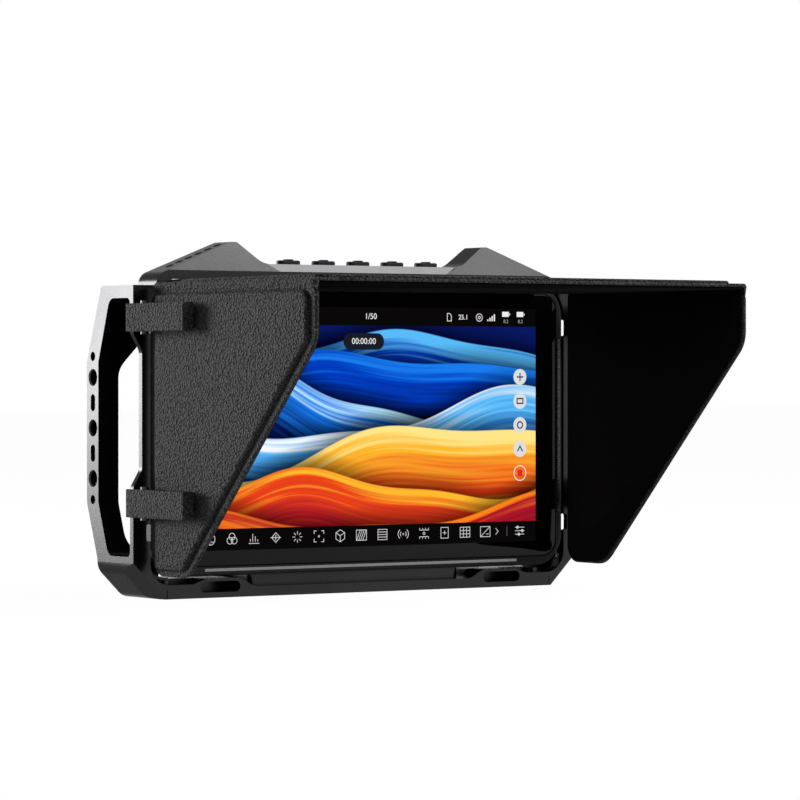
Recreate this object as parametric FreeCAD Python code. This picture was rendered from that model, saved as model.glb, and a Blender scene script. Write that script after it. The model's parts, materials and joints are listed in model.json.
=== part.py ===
import FreeCAD, Part
import math
import os

V = FreeCAD.Vector

# Millimetres. X runs to the viewer's right, Y away from the viewer, Z up.
# The origin is the mouth of the tripod thread under the bottom rail.

# Clearances and shared allowances
overrun = 2.0
fit_gap = 0.3
button_gap = 0.3
pin_gap = 0.05
cage_gap = 0.6
same_point = 1e-6

# Display, glass and monitor body
glass_width = 174.0
glass_height = 98.2
border_side = 9.5
border_end = 5.5
display_width = glass_width - 2 * border_side
display_height = glass_height - 2 * border_end
glass_thick = 1.2
glass_corner = 6.3
rim_side = 3.0
rim_top = 3.4
body_width = glass_width + 2 * rim_side
body_height = glass_height + 2 * rim_top
body_corner = 11.5
bezel_depth = 7.4
step_short = 5.6
step_width = body_width - 2 * step_short
body_depth = 15.0
body_wall = 2.0
rim_edge = 0.8
body_low = 7.8

# Places that follow the monitor body
half_body = body_width / 2
middle = body_low + body_height / 2
body_top = body_low + body_height
display_bottom = middle - display_height / 2

# Cage
cage_stand = 7.6
cage_width = body_width + 2 * cage_stand
foot_depth = 25.0
foot_chamfer = 10.4
foot_round = 6.0
facet_chamfer = 13.2
facet_depth = 8.0
rail_thick = 3.6
rail_end_thick = 6.8
rail_short = 12.0
rail_half = half_body - rail_short
tongue_length = 5.5
tongue_thick = 3.3
slot_length = 16.7
slot_end = 8.0
slot_outer = rail_half - slot_end
slot_inner = slot_outer - slot_length
slot_height = 3.9
slot_middle = 3.9
slot_deep = 10.0
rail_rise_gap = 0.3
rail_rise_run = 5.5
rail_rise_out = slot_inner - rail_rise_gap
rail_rise_in = rail_rise_out - rail_rise_run
seat_short = 1.5
seat_start = 5.0
seat_round = 3.0
fence_short = 3.0
fence_half = slot_outer - fence_short
fence_thick = 3.0
recess_floor = 5.0
recess_rise = 2.4
recess_in = slot_outer - recess_rise
recess_run = 5.5
recess_out = recess_in + recess_run
recess_deep = 9.0
recess_round = 8.0
recess_soft = 2.0
thread_minor = 5.1

# Side loops
loop_depth = 32.5
loop_drop = 2.0
loop_top = body_top - loop_drop
loop_top_depth = 22.2
handle_rise = 23.4
handle_fall = 26.6
loop_upper = middle + handle_rise
loop_lower = middle - handle_fall
loop_floor = 13.7
handle_thick = 8.3
handle_depth = 8.1
front_bar_depth = 2.2
opening_floor = 15.2
roof_thick = 4.5
opening_roof = loop_top - roof_thick
opening_round = 4.0
opening_roof_depth = 16.5
opening_floor_depth = 17.5
gusset_reach = 16.0
gusset_start = 20.4
gusset_rise = 10.0
gusset_low = middle + gusset_start
gusset_high = gusset_low + gusset_rise
gusset_foot = 19.0
gusset_foot_high = 14.0
gusset_round = 8.0
bar_waist = 3.6
waist_run = 6.0
waist_round = 4.0
waist_rise = 5.5
bar_notch = 1.6
bar_notch_low = 20.7
bar_notch_high = 26.7

# Accessory holes in the handles
hole_pitch = 18.0
hole_depth_place = 28.2
hole_mouth = 6.1
pin_hole = 3.3
pin_hole_place = 25.5
key_slot_width = 3.1
key_slot_height = 6.1

# Top rail with its horns
rail_rise = 6.2
rail_top = body_top + rail_rise
band_height = 2.7
rail_front_top = rail_top - band_height
rail_slope_depth = 1.6
band_low_half = 36.5
band_high_half = 41.5
horn_rise = 7.7
horn_peak = rail_top + horn_rise
horn_peak_x = 56.2
horn_lean = 1.8
horn_crown = 2.5
horn_foot_x = 43.2
horn_fall = 12.3
horn_shoulder = horn_peak - horn_fall
horn_short = 1.8
horn_outer_x = half_body - horn_short
horn_round = 5.0
horn_fillet = 9.0
horn_tip_round = 1.8
horn_depth = 12.5
ear_reach = 8.0
ear_root = 4.0
ear_thick = 2.4
ear_near = 4.0
ear_far = 12.0
horn_hole = 3.2
horn_hole_pitch = 3.95
horn_hole_count = 6
horn_hole_first = 59.5
horn_hole_deep = 3.0
horn_hole_place = 5.8

# Buttons
button_pitch = 15.07
button_count = 5
button_width = 9.4
button_depth = 4.0
button_proud = 1.5
button_top = rail_top + button_proud
button_place = 4.4
button_bump_width = 3.7
button_bump = 0.4
button_round = 0.8
button_travel = 0.8
flange_width = 11.6
flange_depth = 5.4
flange_thick = 1.0
switch_width = 5.0
switch_depth = 4.4
switch_height = 2.6
dome_diameter = 2.6
dome_height = 0.3
strip_thick = 0.4
strip_half = 38.0

# Metal edge strips and corner bumpers
strip_short = 21.7
strip_bottom_half = half_body - strip_short
strip_height = 1.0
strip_proud = 0.3
strip_deep = 1.2
strip_inset = 2.1
side_strip_foot = 19.9
side_strip_head = 20.1
side_strip_low = body_low + side_strip_foot
side_strip_high = body_top - side_strip_head
bumper_ring = 1.0
bumper_reach = 15.0

# Inside the monitor
panel_edge = 2.5
panel_drop = 3.0
panel_rise = 1.1
panel_width = display_width + 2 * panel_edge
panel_height = display_height + panel_drop + panel_rise
panel_thick = 4.0
chassis_edge = 6.0
chassis_fall = 1.3
chassis_width = panel_width + 2 * chassis_edge
chassis_height = panel_height - chassis_fall
chassis_thick = 1.2
standoff_diameter = 5.0
board_width = 130.0
board_height = 62.0
board_thick = 1.6
chip_size = 16.0
chip_thick = 2.2
chip_rise_share = 1.3
antenna_width = 9.0
antenna_length = 38.0
antenna_thick = 0.8

# Rear housing
housing_side = 16.0
housing_end = 6.5
housing_width = body_width - 2 * housing_side
housing_height = body_height - 2 * housing_end
housing_depth = 30.0
housing_corner = 8.0
vent_count = 12
vent_pitch = 5.2
vent_width = 2.2
vent_height = 14.0
vent_top_gap = 6.0
rear_screw_head = 5.0
rear_screw_thick = 1.4
rear_screw_length = 9.4

# Battery plates
plate_width = 40.0
plate_height = 62.0
plate_thick = 3.0
plate_middle = 27.0
plate_drop = 6.0
plate_corner = 2.0
key_width = 3.0
key_length = 7.0
key_pitch = 22.0
contact_width = 2.4
contact_height = 7.0
contact_proud = 0.8
contact_spread = 7.0
latch_width = 11.0
latch_height = 5.0
latch_thick = 2.4
latch_travel = 2.0
latch_above = 4.0

# Sockets on the housing's flanks
socket_bed = 22.0
video_width = 15.0
video_height = 5.6
socket_deep = 8.0
power_diameter = 8.0
power_bore = 5.5
data_width = 9.0
data_height = 3.3
phones_diameter = 6.0
phones_bore = 3.5
card_width = 25.0
card_height = 3.4
socket_wall = 0.8
video_rise = 22.0
power_rise = 0.0
data_rise = 24.0
phones_rise = 8.0
card_rise = -14.0

# Cage and monitor screws
screw_diameter = 3.0
screw_head = 5.5
screw_head_thick = 1.6
cage_screw_reach = 3.0
cage_screw_x = rail_half + cage_screw_reach
cage_screw_near = 6.0
cage_screw_far = 19.0
cage_screw_length = 3.2
ear_screw_inset = 4.6
ear_screw_x = cage_width / 2 - ear_screw_inset
ear_screw_place = 8.0
mount_screw_x = 24.0
mount_screw_length = 4.0

# Hood
hood_reach = 107.5
hood_start = 3.4
hood_drop = 1.2
hood_top = body_top - hood_drop
leather = 1.2
lining = 0.8
top_pad = 1.2
flap_pad = 2.0
flap_face = half_body
flap_lift = 1.0
flap_bottom = body_low + flap_lift
flap_front_fall = 21.4
flap_front_low = hood_top - flap_front_fall
flap_foot = 26.6
flap_round = 11.0
pad_top_inset = 1.4
pad_front_inset = 3.2
pad_bottom_inset = 1.7
pad_rear_inset = 2.2
pad_round = 4.5
slide_share = 0.6
top_pad_side = 3.2
top_pad_rear = 10.0
hinge_strip_gap = 0.9
hinge_strip_thick = hood_start - hinge_strip_gap
hinge_strip_half = rail_half
hinge_strip_height = 3.0

# Straps
half_cage = cage_width / 2
strap_proud = 1.45
strap_face = half_cage + strap_proud
strap_front = 36.0
strap_high = 9.9
strap_top_gap = 13.45
strap_foot_gap = 26.4
strap_upper = body_top - strap_top_gap
strap_lower = body_low + strap_foot_gap
strap_thick = 4.45
strap_round = 0.6
waist_low = strap_lower + waist_rise
waist_high = strap_upper - waist_rise
post_diameter = 3.0
post_place = 5.9
post_inset = 1.2
post_x = half_cage - post_inset
post_proud = 0.9
knuckle_radius = 2.65
stem_diameter = 2.2
stem_sink = 2.0
stem_room = 3.4
tail_thick = 1.3
tail_hook = 4.5
tail_gap = 0.35
tail_lead = post_place - knuckle_radius - tail_gap
patch_thick = 1.1
patch_start = 9.2
patch_end = 33.0
patch_high = 7.0

# Worked out from the values above
front = -foot_depth / 2
half_step = step_width / 2
housing_top = middle + housing_height / 2
flap_top = hood_top - leather - lining - fit_gap
pad_face = flap_face + leather + flap_pad


def depth(distance):
    """Y of a place this far behind the front plane."""
    return front + distance


def box(x0, x1, y0, y1, z0, z1):
    """Block between two corners."""
    corner = V(min(x0, x1), min(y0, y1), min(z0, z1))
    return Part.makeBox(abs(x1 - x0), abs(y1 - y0), abs(z1 - z0), corner)


def rounded_face(points, place):
    """Face with each corner (a, b, radius) rounded by an arc; place turns (a, b) into a point."""
    count = len(points)
    runs = []
    for i, (a, b, radius) in enumerate(points):
        before = points[i - 1]
        after = points[(i + 1) % count]
        ua, ub = before[0] - a, before[1] - b
        wa, wb = after[0] - a, after[1] - b
        u_long, w_long = math.hypot(ua, ub), math.hypot(wa, wb)
        ua, ub, wa, wb = ua / u_long, ub / u_long, wa / w_long, wb / w_long
        if radius == 0:
            runs.append(((a, b), None, (a, b)))
            continue
        half = math.acos(max(-1.0, min(1.0, ua * wa + ub * wb))) / 2
        reach = radius / math.tan(half)
        out = radius / math.sin(half) - radius
        ma, mb = ua + wa, ub + wb
        m_long = math.hypot(ma, mb)
        mid = (a + ma / m_long * out, b + mb / m_long * out)
        runs.append(((a + ua * reach, b + ub * reach), mid, (a + wa * reach, b + wb * reach)))
    edges = []
    for i, (start, mid, end) in enumerate(runs):
        if mid is not None:
            edges.append(Part.Arc(place(*start), place(*mid), place(*end)).toShape())
        following = runs[(i + 1) % count][0]
        if math.hypot(following[0] - end[0], following[1] - end[1]) > same_point:
            edges.append(Part.makeLine(place(*end), place(*following)))
    return Part.Face(Part.Wire(edges))


def prism_y(points, y0, y1):
    """Front-view outline (x, z, radius) carried from y0 to y1."""
    return rounded_face(points, lambda a, b: V(a, y0, b)).extrude(V(0, y1 - y0, 0))


def prism_x(points, x0, x1):
    """Side-view outline (y, z, radius) carried from x0 to x1."""
    return rounded_face(points, lambda a, b: V(x0, a, b)).extrude(V(x1 - x0, 0, 0))


def prism_z(points, z0, z1):
    """Plan outline (x, y, radius) carried from z0 to z1."""
    return rounded_face(points, lambda a, b: V(a, b, z0)).extrude(V(0, 0, z1 - z0))


def rectangle(a0, a1, b0, b1, radius):
    """Corners of a rounded rectangle, ready for a prism."""
    return [(a0, b0, radius), (a1, b0, radius), (a1, b1, radius), (a0, b1, radius)]


def slab(width, height, radius, y0, y1):
    """Rounded slab about the display's middle, seen from the front."""
    corners = rectangle(-width / 2, width / 2, middle - height / 2, middle + height / 2, radius)
    return prism_y(corners, y0, y1)


def rod(start, direction, radius, length):
    """Round rod from a point along a direction."""
    return Part.makeCylinder(radius, length, start, direction)


def cone(start, direction, radius, end_radius, length):
    """Tapered rod from a point along a direction."""
    return Part.makeCone(radius, end_radius, length, start, direction)


def mirrored(shape):
    """The same shape on the other side of the middle plane."""
    return shape.mirror(V(0, 0, 0), V(1, 0, 0))


def fused(shapes):
    """One solid from touching shapes."""
    return shapes[0].multiFuse(shapes[1:]).removeSplitter()


def softened(shape, chosen, size):
    """Shape with the chosen edges bevelled."""
    return shape.makeChamfer(size, [edge for edge in shape.Edges if chosen(edge)])


def save(name, *shapes):
    """Write one node; several shapes stay separate solids."""
    shape = shapes[0] if len(shapes) == 1 else Part.makeCompound(list(shapes))
    shape.exportStep(f"parts/{name}.step")
    print(name, len(shape.Solids), "solids", round(shape.Volume), "mm3", shape.isValid())


def body_room():
    """Space that the monitor takes in the cage, with its clearance."""
    return slab(body_width + 2 * cage_gap, body_height + 2 * cage_gap, body_corner + cage_gap,
                depth(-overrun), depth(body_depth + cage_gap))


def loop_outline():
    """Side view of a loop's outside."""
    return [(depth(0), 0, 0), (depth(0), loop_top, 0), (depth(loop_top_depth), loop_top, opening_round / 2),
            (depth(loop_depth), loop_upper, gusset_round), (depth(loop_depth), loop_lower, gusset_round),
            (depth(foot_depth), loop_floor, 0), (depth(foot_depth), 0, 0)]


def loop_opening():
    """Side view of the hand opening in a loop."""
    inner = depth(loop_depth - handle_depth)
    return [(depth(front_bar_depth), opening_floor, opening_round / 2),
            (depth(front_bar_depth), opening_roof, opening_round / 2),
            (depth(opening_roof_depth), opening_roof, opening_round),
            (inner, loop_upper, opening_round), (inner, loop_lower, opening_round),
            (depth(opening_floor_depth), opening_floor, opening_round)]


def handle_holes():
    """Accessory holes, locating holes and key slots through the left handle."""
    y = depth(hole_depth_place)
    out = V(1, 0, 0)
    start = -half_cage - overrun
    through = handle_thick + 2 * overrun
    cuts = []
    for step in (-1, 0, 1):
        z = middle + step * hole_pitch
        cuts.append(rod(V(start, y, z), out, thread_minor / 2, through))
        flare = (hole_mouth - thread_minor) / 2
        cuts.append(cone(V(-half_cage, y, z), out, hole_mouth / 2, thread_minor / 2, flare))
    for side in (-1, 1):
        cuts.append(rod(V(start, y, middle + side * pin_hole_place), out, pin_hole / 2, through))
        z = middle + side * hole_pitch / 2
        corners = rectangle(y - key_slot_width / 2, y + key_slot_width / 2,
                            z - key_slot_height / 2, z + key_slot_height / 2, key_slot_width / 2 - pin_gap)
        cuts.append(prism_x(corners, start, start + through))
    return cuts


def foot_facet():
    """Wedge that cuts the sloping facet at the front of the left foot's corner."""
    slant = (facet_chamfer - foot_chamfer) / facet_depth
    wires = []
    for distance in (-overrun, facet_depth + overrun):
        reach = facet_chamfer - slant * distance
        y = depth(distance)
        low = V(-half_cage - overrun, y, -overrun)
        across = V(-half_cage + reach + overrun, y, -overrun)
        above = V(-half_cage - overrun, y, reach + overrun)
        wires.append(Part.makePolygon([low, across, above, low]))
    return Part.makeLoft(wires, True, True)


def corner_recess():
    """Front recess in the cage's left corner, from the front bar to the slot's hump."""
    bar = half_body + cage_gap
    high = body_low + body_corner
    corners = [(-recess_in, rail_end_thick, 0), (-recess_out, recess_floor, recess_soft),
               (-bar, recess_floor, recess_round), (-bar, high, 0), (-recess_in, high, 0)]
    return prism_y(corners, depth(-overrun), depth(recess_deep))


def ear(grow):
    """Left ear of the top rail, which lies in a pocket of the loop's top."""
    return box(-horn_outer_x + ear_root, -horn_outer_x - ear_reach - grow, depth(ear_near) - grow,
               depth(ear_far) + grow, loop_top - ear_thick, loop_top)


def cage_side():
    """Left side of the cage: front bar, handle, gussets and chamfered foot."""
    whole = prism_x(loop_outline(), -half_cage, -rail_half)
    handle_in = half_cage - handle_thick
    gusset_in = half_cage - gusset_reach
    view = [(-rail_half, 0, 0), (-half_cage + foot_chamfer, 0, foot_round),
            (-half_cage, foot_chamfer, foot_round), (-half_cage, loop_top, 0),
            (-gusset_in, loop_top, 0), (-gusset_in, gusset_high, gusset_round),
            (-handle_in, gusset_low, gusset_round), (-handle_in, gusset_foot, gusset_round),
            (-gusset_in, gusset_foot_high, gusset_round / 2), (-rail_half, gusset_foot_high, 0)]
    side = whole.common(prism_y(view, depth(-overrun), depth(loop_depth + overrun)))
    side = side.cut(prism_x(loop_opening(), -half_cage - overrun, -rail_half + overrun))
    side = side.cut(body_room()).cut(foot_facet()).cut(corner_recess()).cut(ear(fit_gap / 3))
    edge, waist_in, clear = -half_cage, -half_cage + bar_waist, -half_cage - overrun
    waist = [(clear, waist_low - waist_run / 2, 0), (edge, waist_low - waist_run / 2, 0),
             (edge, waist_low, waist_round), (waist_in, waist_low + waist_run, waist_round),
             (waist_in, waist_high - waist_run, waist_round), (edge, waist_high, waist_round),
             (edge, waist_high + waist_run / 2, 0), (clear, waist_high + waist_run / 2, 0)]
    side = side.cut(prism_y(waist, depth(-overrun), depth(front_bar_depth + fit_gap)))
    for low, high in ((bar_notch_low, bar_notch_high),
                      (2 * middle - bar_notch_high, 2 * middle - bar_notch_low)):
        inner = half_body + cage_gap
        corners = rectangle(-inner - bar_notch, -inner + overrun, low, high, bar_notch / 2)
        side = side.cut(prism_y(corners, depth(-overrun), depth(front_bar_depth + overrun)))
    side = side.cut(box(-rail_half - tongue_length - fit_gap, -rail_half, depth(-overrun),
                        depth(foot_depth + overrun), -overrun, tongue_thick))
    for cutter in handle_holes():
        side = side.cut(cutter)
    for place in (cage_screw_near, cage_screw_far):
        side = side.cut(rod(V(-cage_screw_x, depth(place), 0), V(0, 0, 1), screw_diameter / 2 + pin_gap,
                            tongue_thick + cage_screw_length + pin_gap))
    side = side.cut(rod(V(-ear_screw_x, depth(ear_screw_place), loop_top), V(0, 0, -1),
                        screw_diameter / 2 + pin_gap, roof_thick + overrun))
    for z in (strap_upper, strap_lower):
        side = side.cut(rod(V(-post_x, depth(-overrun), z), V(0, 1, 0), stem_diameter / 2,
                            overrun + stem_sink))
    return max(side.Solids, key=lambda solid: solid.Volume)


def rail_profile():
    """Front view of the bottom rail, with its raised ends."""
    return [(-rail_half, 0, 0), (rail_half, 0, 0), (rail_half, rail_end_thick, 0),
            (rail_rise_out, rail_end_thick, rail_end_thick), (rail_rise_in, rail_thick, rail_end_thick),
            (-rail_rise_in, rail_thick, rail_end_thick), (-rail_rise_out, rail_end_thick, rail_end_thick),
            (-rail_half, rail_end_thick, 0)]


def cage_bottom_rail():
    """Bottom rail with its slots, tongues, the monitor's seat, a rear fence and the tripod thread."""
    rail = prism_y(rail_profile(), depth(0), depth(foot_depth))
    slot_low = slot_middle - slot_height / 2
    slot = prism_y(rectangle(slot_inner, slot_outer, slot_low, slot_low + slot_height,
                             slot_height / 2 - pin_gap), depth(-overrun), depth(slot_deep))
    rail = rail.cut(slot).cut(mirrored(slot)).cut(corner_recess()).cut(mirrored(corner_recess()))
    tongue_end = rail_half + tongue_length
    tongue = box(rail_half - overrun, tongue_end, depth(0), depth(foot_depth), 0, tongue_thick)
    seat_half = rail_rise_in - seat_short
    seat = prism_z(rectangle(-seat_half, seat_half, depth(seat_start), depth(foot_depth), seat_round),
                   0, body_low)
    fence = box(-fence_half, fence_half, depth(foot_depth - fence_thick), depth(foot_depth), 0, body_low)
    rail = fused([rail, tongue, mirrored(tongue), seat, fence])
    rail = rail.cut(rod(V(0, 0, -overrun), V(0, 0, 1), thread_minor / 2, body_low + 2 * overrun))
    for side in (-1, 1):
        for place in (cage_screw_near, cage_screw_far):
            rail = rail.cut(screw(V(side * cage_screw_x, depth(place), 0), V(0, 0, 1), body_low, pin_gap))
        rail = rail.cut(screw(V(side * mount_screw_x, 0, 0), V(0, 0, 1), body_low + overrun, pin_gap))
    return rail


def screw(start, direction, length, grow=0.0):
    """Flush screw: a short head and a shank, from its head's face along a direction."""
    head = rod(start, direction, screw_head / 2 + grow, screw_head_thick)
    shank = rod(start, direction, screw_diameter / 2 + grow, length)
    return head.fuse(shank).removeSplitter()


def horn_profile():
    """Front view of the top rail, half on the right and half mirrored."""
    low = body_top + cage_gap
    right = [(horn_foot_x, rail_top, horn_fillet), (horn_peak_x - horn_crown, horn_peak, horn_tip_round),
             (horn_peak_x, horn_peak, horn_tip_round), (horn_outer_x, horn_shoulder, horn_round),
             (horn_outer_x, loop_top, 0),
             (half_cage - gusset_reach, loop_top, 0), (half_cage - gusset_reach, low, 0)]
    left = [(-x, z, radius) for x, z, radius in reversed(right)]
    return right + left


def front_band():
    """Wedge that cuts the sloped band between the horns; its ends run out along the horns' feet."""
    slope = [(depth(-overrun), rail_front_top, 0), (depth(0), rail_front_top, 0),
             (depth(rail_slope_depth), rail_top, 0), (depth(rail_slope_depth), horn_peak, 0),
             (depth(-overrun), horn_peak, 0)]
    view = [(-band_low_half, rail_front_top, 0), (band_low_half, rail_front_top, 0),
            (band_high_half, rail_top, 0), (band_high_half, horn_peak, 0),
            (-band_high_half, horn_peak, 0), (-band_high_half, rail_top, 0)]
    wedge = prism_x(slope, -band_high_half, band_high_half)
    return wedge.common(prism_y(view, depth(-overrun), depth(horn_depth)))


def cage_top_rail():
    """Top rail: two horns with drilled slopes, a sloped front edge and button windows."""
    rail = prism_y(horn_profile(), depth(0), depth(horn_depth))
    rail = fused([rail, ear(0), mirrored(ear(0))])
    lean = [(depth(-overrun), rail_front_top, 0), (depth(0), rail_front_top, 0),
            (depth(horn_lean), horn_peak, 0), (depth(-overrun), horn_peak, 0)]
    rail = rail.cut(prism_x(lean, -horn_outer_x - overrun, horn_outer_x + overrun))
    rail = rail.cut(front_band()).cut(body_room())
    for x in button_places():
        rail = rail.cut(button_window(x, body_top, horn_peak))
    tilt = math.atan2(horn_peak - horn_shoulder, horn_outer_x - horn_peak_x)
    normal = V(math.sin(tilt), 0, math.cos(tilt))
    for i in range(horn_hole_count):
        x = horn_hole_first + i * horn_hole_pitch
        z = horn_peak - (x - horn_peak_x) * math.tan(tilt)
        hole = rod(V(x, depth(horn_hole_place), z) + normal * overrun, normal * -1,
                   horn_hole / 2, overrun + horn_hole_deep)
        rail = rail.cut(hole).cut(mirrored(hole))
    for side in (-1, 1):
        head = V(side * ear_screw_x, depth(ear_screw_place), loop_top)
        rail = rail.cut(screw(head, V(0, 0, -1), roof_thick, pin_gap))
    return rail


def button_places():
    """X of each button."""
    return [(i - (button_count - 1) / 2) * button_pitch for i in range(button_count)]


def button_window(x, z0, z1):
    """Clear way for one button through a wall."""
    wide = button_width / 2 + button_gap
    deep = button_depth / 2 + button_gap
    y = depth(button_place)
    return prism_z(rectangle(x - wide, x + wide, y - deep, y + deep, deep - pin_gap), z0, z1)


def button(x):
    """Push button: cap with a raised mark, neck and the flange that keeps it in."""
    y = depth(button_place)
    flange_top = body_top - body_wall - button_gap
    cap = prism_z(rectangle(x - button_width / 2, x + button_width / 2, y - button_depth / 2,
                            y + button_depth / 2, button_depth / 2 - pin_gap), flange_top, button_top)
    cap = softened(cap, lambda edge: edge.BoundBox.ZMin > button_top - fit_gap, button_bump)
    bump = rod(V(x, y, button_top - button_bump), V(0, 0, 1), button_bump_width / 2, 2 * button_bump)
    flange = box(x - flange_width / 2, x + flange_width / 2, y - flange_depth / 2, y + flange_depth / 2,
                 flange_top - flange_thick, flange_top)
    return fused([cap, bump, flange])


def switch_top():
    """Height of the tactile domes under the buttons."""
    return body_top - body_wall - button_gap - flange_thick - button_travel - pin_gap


def tact_switches():
    """Tactile switches under the buttons."""
    found = []
    y = depth(button_place) + (button_depth - switch_depth) / 2
    for x in button_places():
        low = switch_top() - dome_height - switch_height
        case = box(x - switch_width / 2, x + switch_width / 2, y - switch_depth / 2, y + switch_depth / 2,
                   low, low + switch_height)
        dome = rod(V(x, y, low), V(0, 0, 1), dome_diameter / 2, switch_height + dome_height)
        found.append(case.fuse(dome).removeSplitter())
    return found


def button_strip():
    """Flexible strip that carries the switches."""
    top = switch_top() - dome_height - switch_height
    y = depth(button_place) + (button_depth - switch_depth) / 2
    return box(-strip_half, strip_half, y - switch_depth / 2, y + switch_depth / 2, top - strip_thick, top)


def front_bezel():
    """Front frame of the monitor, with the glass's rebate and the button holes."""
    frame = slab(body_width, body_height, body_corner, depth(0), depth(bezel_depth))
    frame = softened(frame, lambda edge: edge.BoundBox.YMax < depth(fit_gap), rim_edge)
    glass_room = slab(glass_width + fit_gap, glass_height + fit_gap, glass_corner, depth(-overrun),
                      depth(glass_thick))
    inside = slab(body_width - 4 * body_wall, body_height - 2 * body_wall, body_corner - body_wall,
                  depth(glass_thick), depth(bezel_depth + overrun))
    frame = frame.cut(glass_room).cut(inside)
    for x in button_places():
        frame = frame.cut(button_window(x, body_top - body_wall - overrun, body_top + overrun))
    for cutter in edge_strips(fit_gap / 3):
        frame = frame.cut(cutter)
    return frame


def edge_strips(grow=0.0):
    """Thin metal strips let into the bezel's face: bottom, left and right."""
    y0, y1 = depth(-strip_proud), depth(strip_deep) + grow
    z = body_low + strip_inset
    bottom = box(-strip_bottom_half - grow, strip_bottom_half + grow, y0, y1,
                 z - strip_height / 2 - grow, z + strip_height / 2 + grow)
    x = half_body - strip_inset + strip_height / 2
    side = box(x - strip_height - grow, x + grow, y0, y1, side_strip_low - grow, side_strip_high + grow)
    return [bottom, side, mirrored(side)]


def corner_bumpers():
    """Soft rings round the corners of the rear housing's step."""
    outer = slab(step_width + bumper_ring, body_height + bumper_ring, body_corner + bumper_ring / 2,
                 depth(bezel_depth + fit_gap), depth(body_depth - body_wall))
    inner = slab(step_width - bumper_ring, body_height - bumper_ring, body_corner - bumper_ring / 2,
                 depth(0), depth(body_depth))
    ring = outer.cut(inner)
    pieces = []
    for sx in (-1, 1):
        for sz in (-1, 1):
            x, z = sx * half_step, middle + sz * body_height / 2
            room = box(x - sx * bumper_reach, x + sx * overrun, depth(0), depth(body_depth),
                       z - sz * bumper_reach, z + sz * overrun)
            pieces.append(ring.common(room))
    return pieces


def cover_glass():
    """Cover glass over the display."""
    return slab(glass_width, glass_height, glass_corner, depth(0), depth(glass_thick))


def display_panel():
    """Display panel behind the glass."""
    low = display_bottom - panel_drop
    return box(-panel_width / 2, panel_width / 2, depth(glass_thick), depth(glass_thick + panel_thick),
               low, low + panel_height)


def standoffs(radius, y0, y1):
    """Posts between the chassis and the main board, near the board's corners."""
    posts = []
    for sx in (-1, 1):
        for sz in (-1, 1):
            x = sx * (board_width / 2 - standoff_diameter)
            z = middle + sz * (board_height / 2 - standoff_diameter)
            posts.append(rod(V(x, y0, z), V(0, 1, 0), radius, y1 - y0))
    return posts


def chassis_back():
    """Distance behind the front plane of the chassis plate's rear face."""
    return glass_thick + panel_thick + chassis_thick


def chassis_plate():
    """Metal plate that carries the display and the main board."""
    low = display_bottom - panel_drop
    plate = box(-chassis_width / 2 + body_wall, chassis_width / 2 - body_wall,
                depth(glass_thick + panel_thick), depth(chassis_back()), low, low + chassis_height)
    for place in rear_screw_places():
        plate = plate.cut(rear_screw(place, pin_gap))
    posts = standoffs(standoff_diameter / 2, depth(chassis_back()), depth(body_depth))
    return fused([plate] + posts)


def main_board():
    """Main circuit board with its processor and memory."""
    y0 = depth(body_depth)
    low = middle - board_height / 2
    board = box(-board_width / 2, board_width / 2, y0, y0 + board_thick, low, low + board_height)
    chips = []
    upper = middle + chip_size * chip_rise_share
    for x, z in ((-chip_size, middle), (chip_size, middle), (chip_size, upper)):
        chips.append(box(x - chip_size / 2, x + chip_size / 2, y0 + board_thick,
                         y0 + board_thick + chip_thick, z - chip_size / 2, z + chip_size / 2))
    return fused([board] + chips)


def antennas():
    """Flat antennas under the housing's top wall."""
    x = housing_width / 2 - housing_corner - body_wall
    y = depth((body_depth + housing_depth) / 2)
    top = housing_top - body_wall
    flat = box(x - antenna_length, x, y - antenna_width / 2, y + antenna_width / 2, top - antenna_thick, top)
    return [flat, mirrored(flat)]


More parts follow.
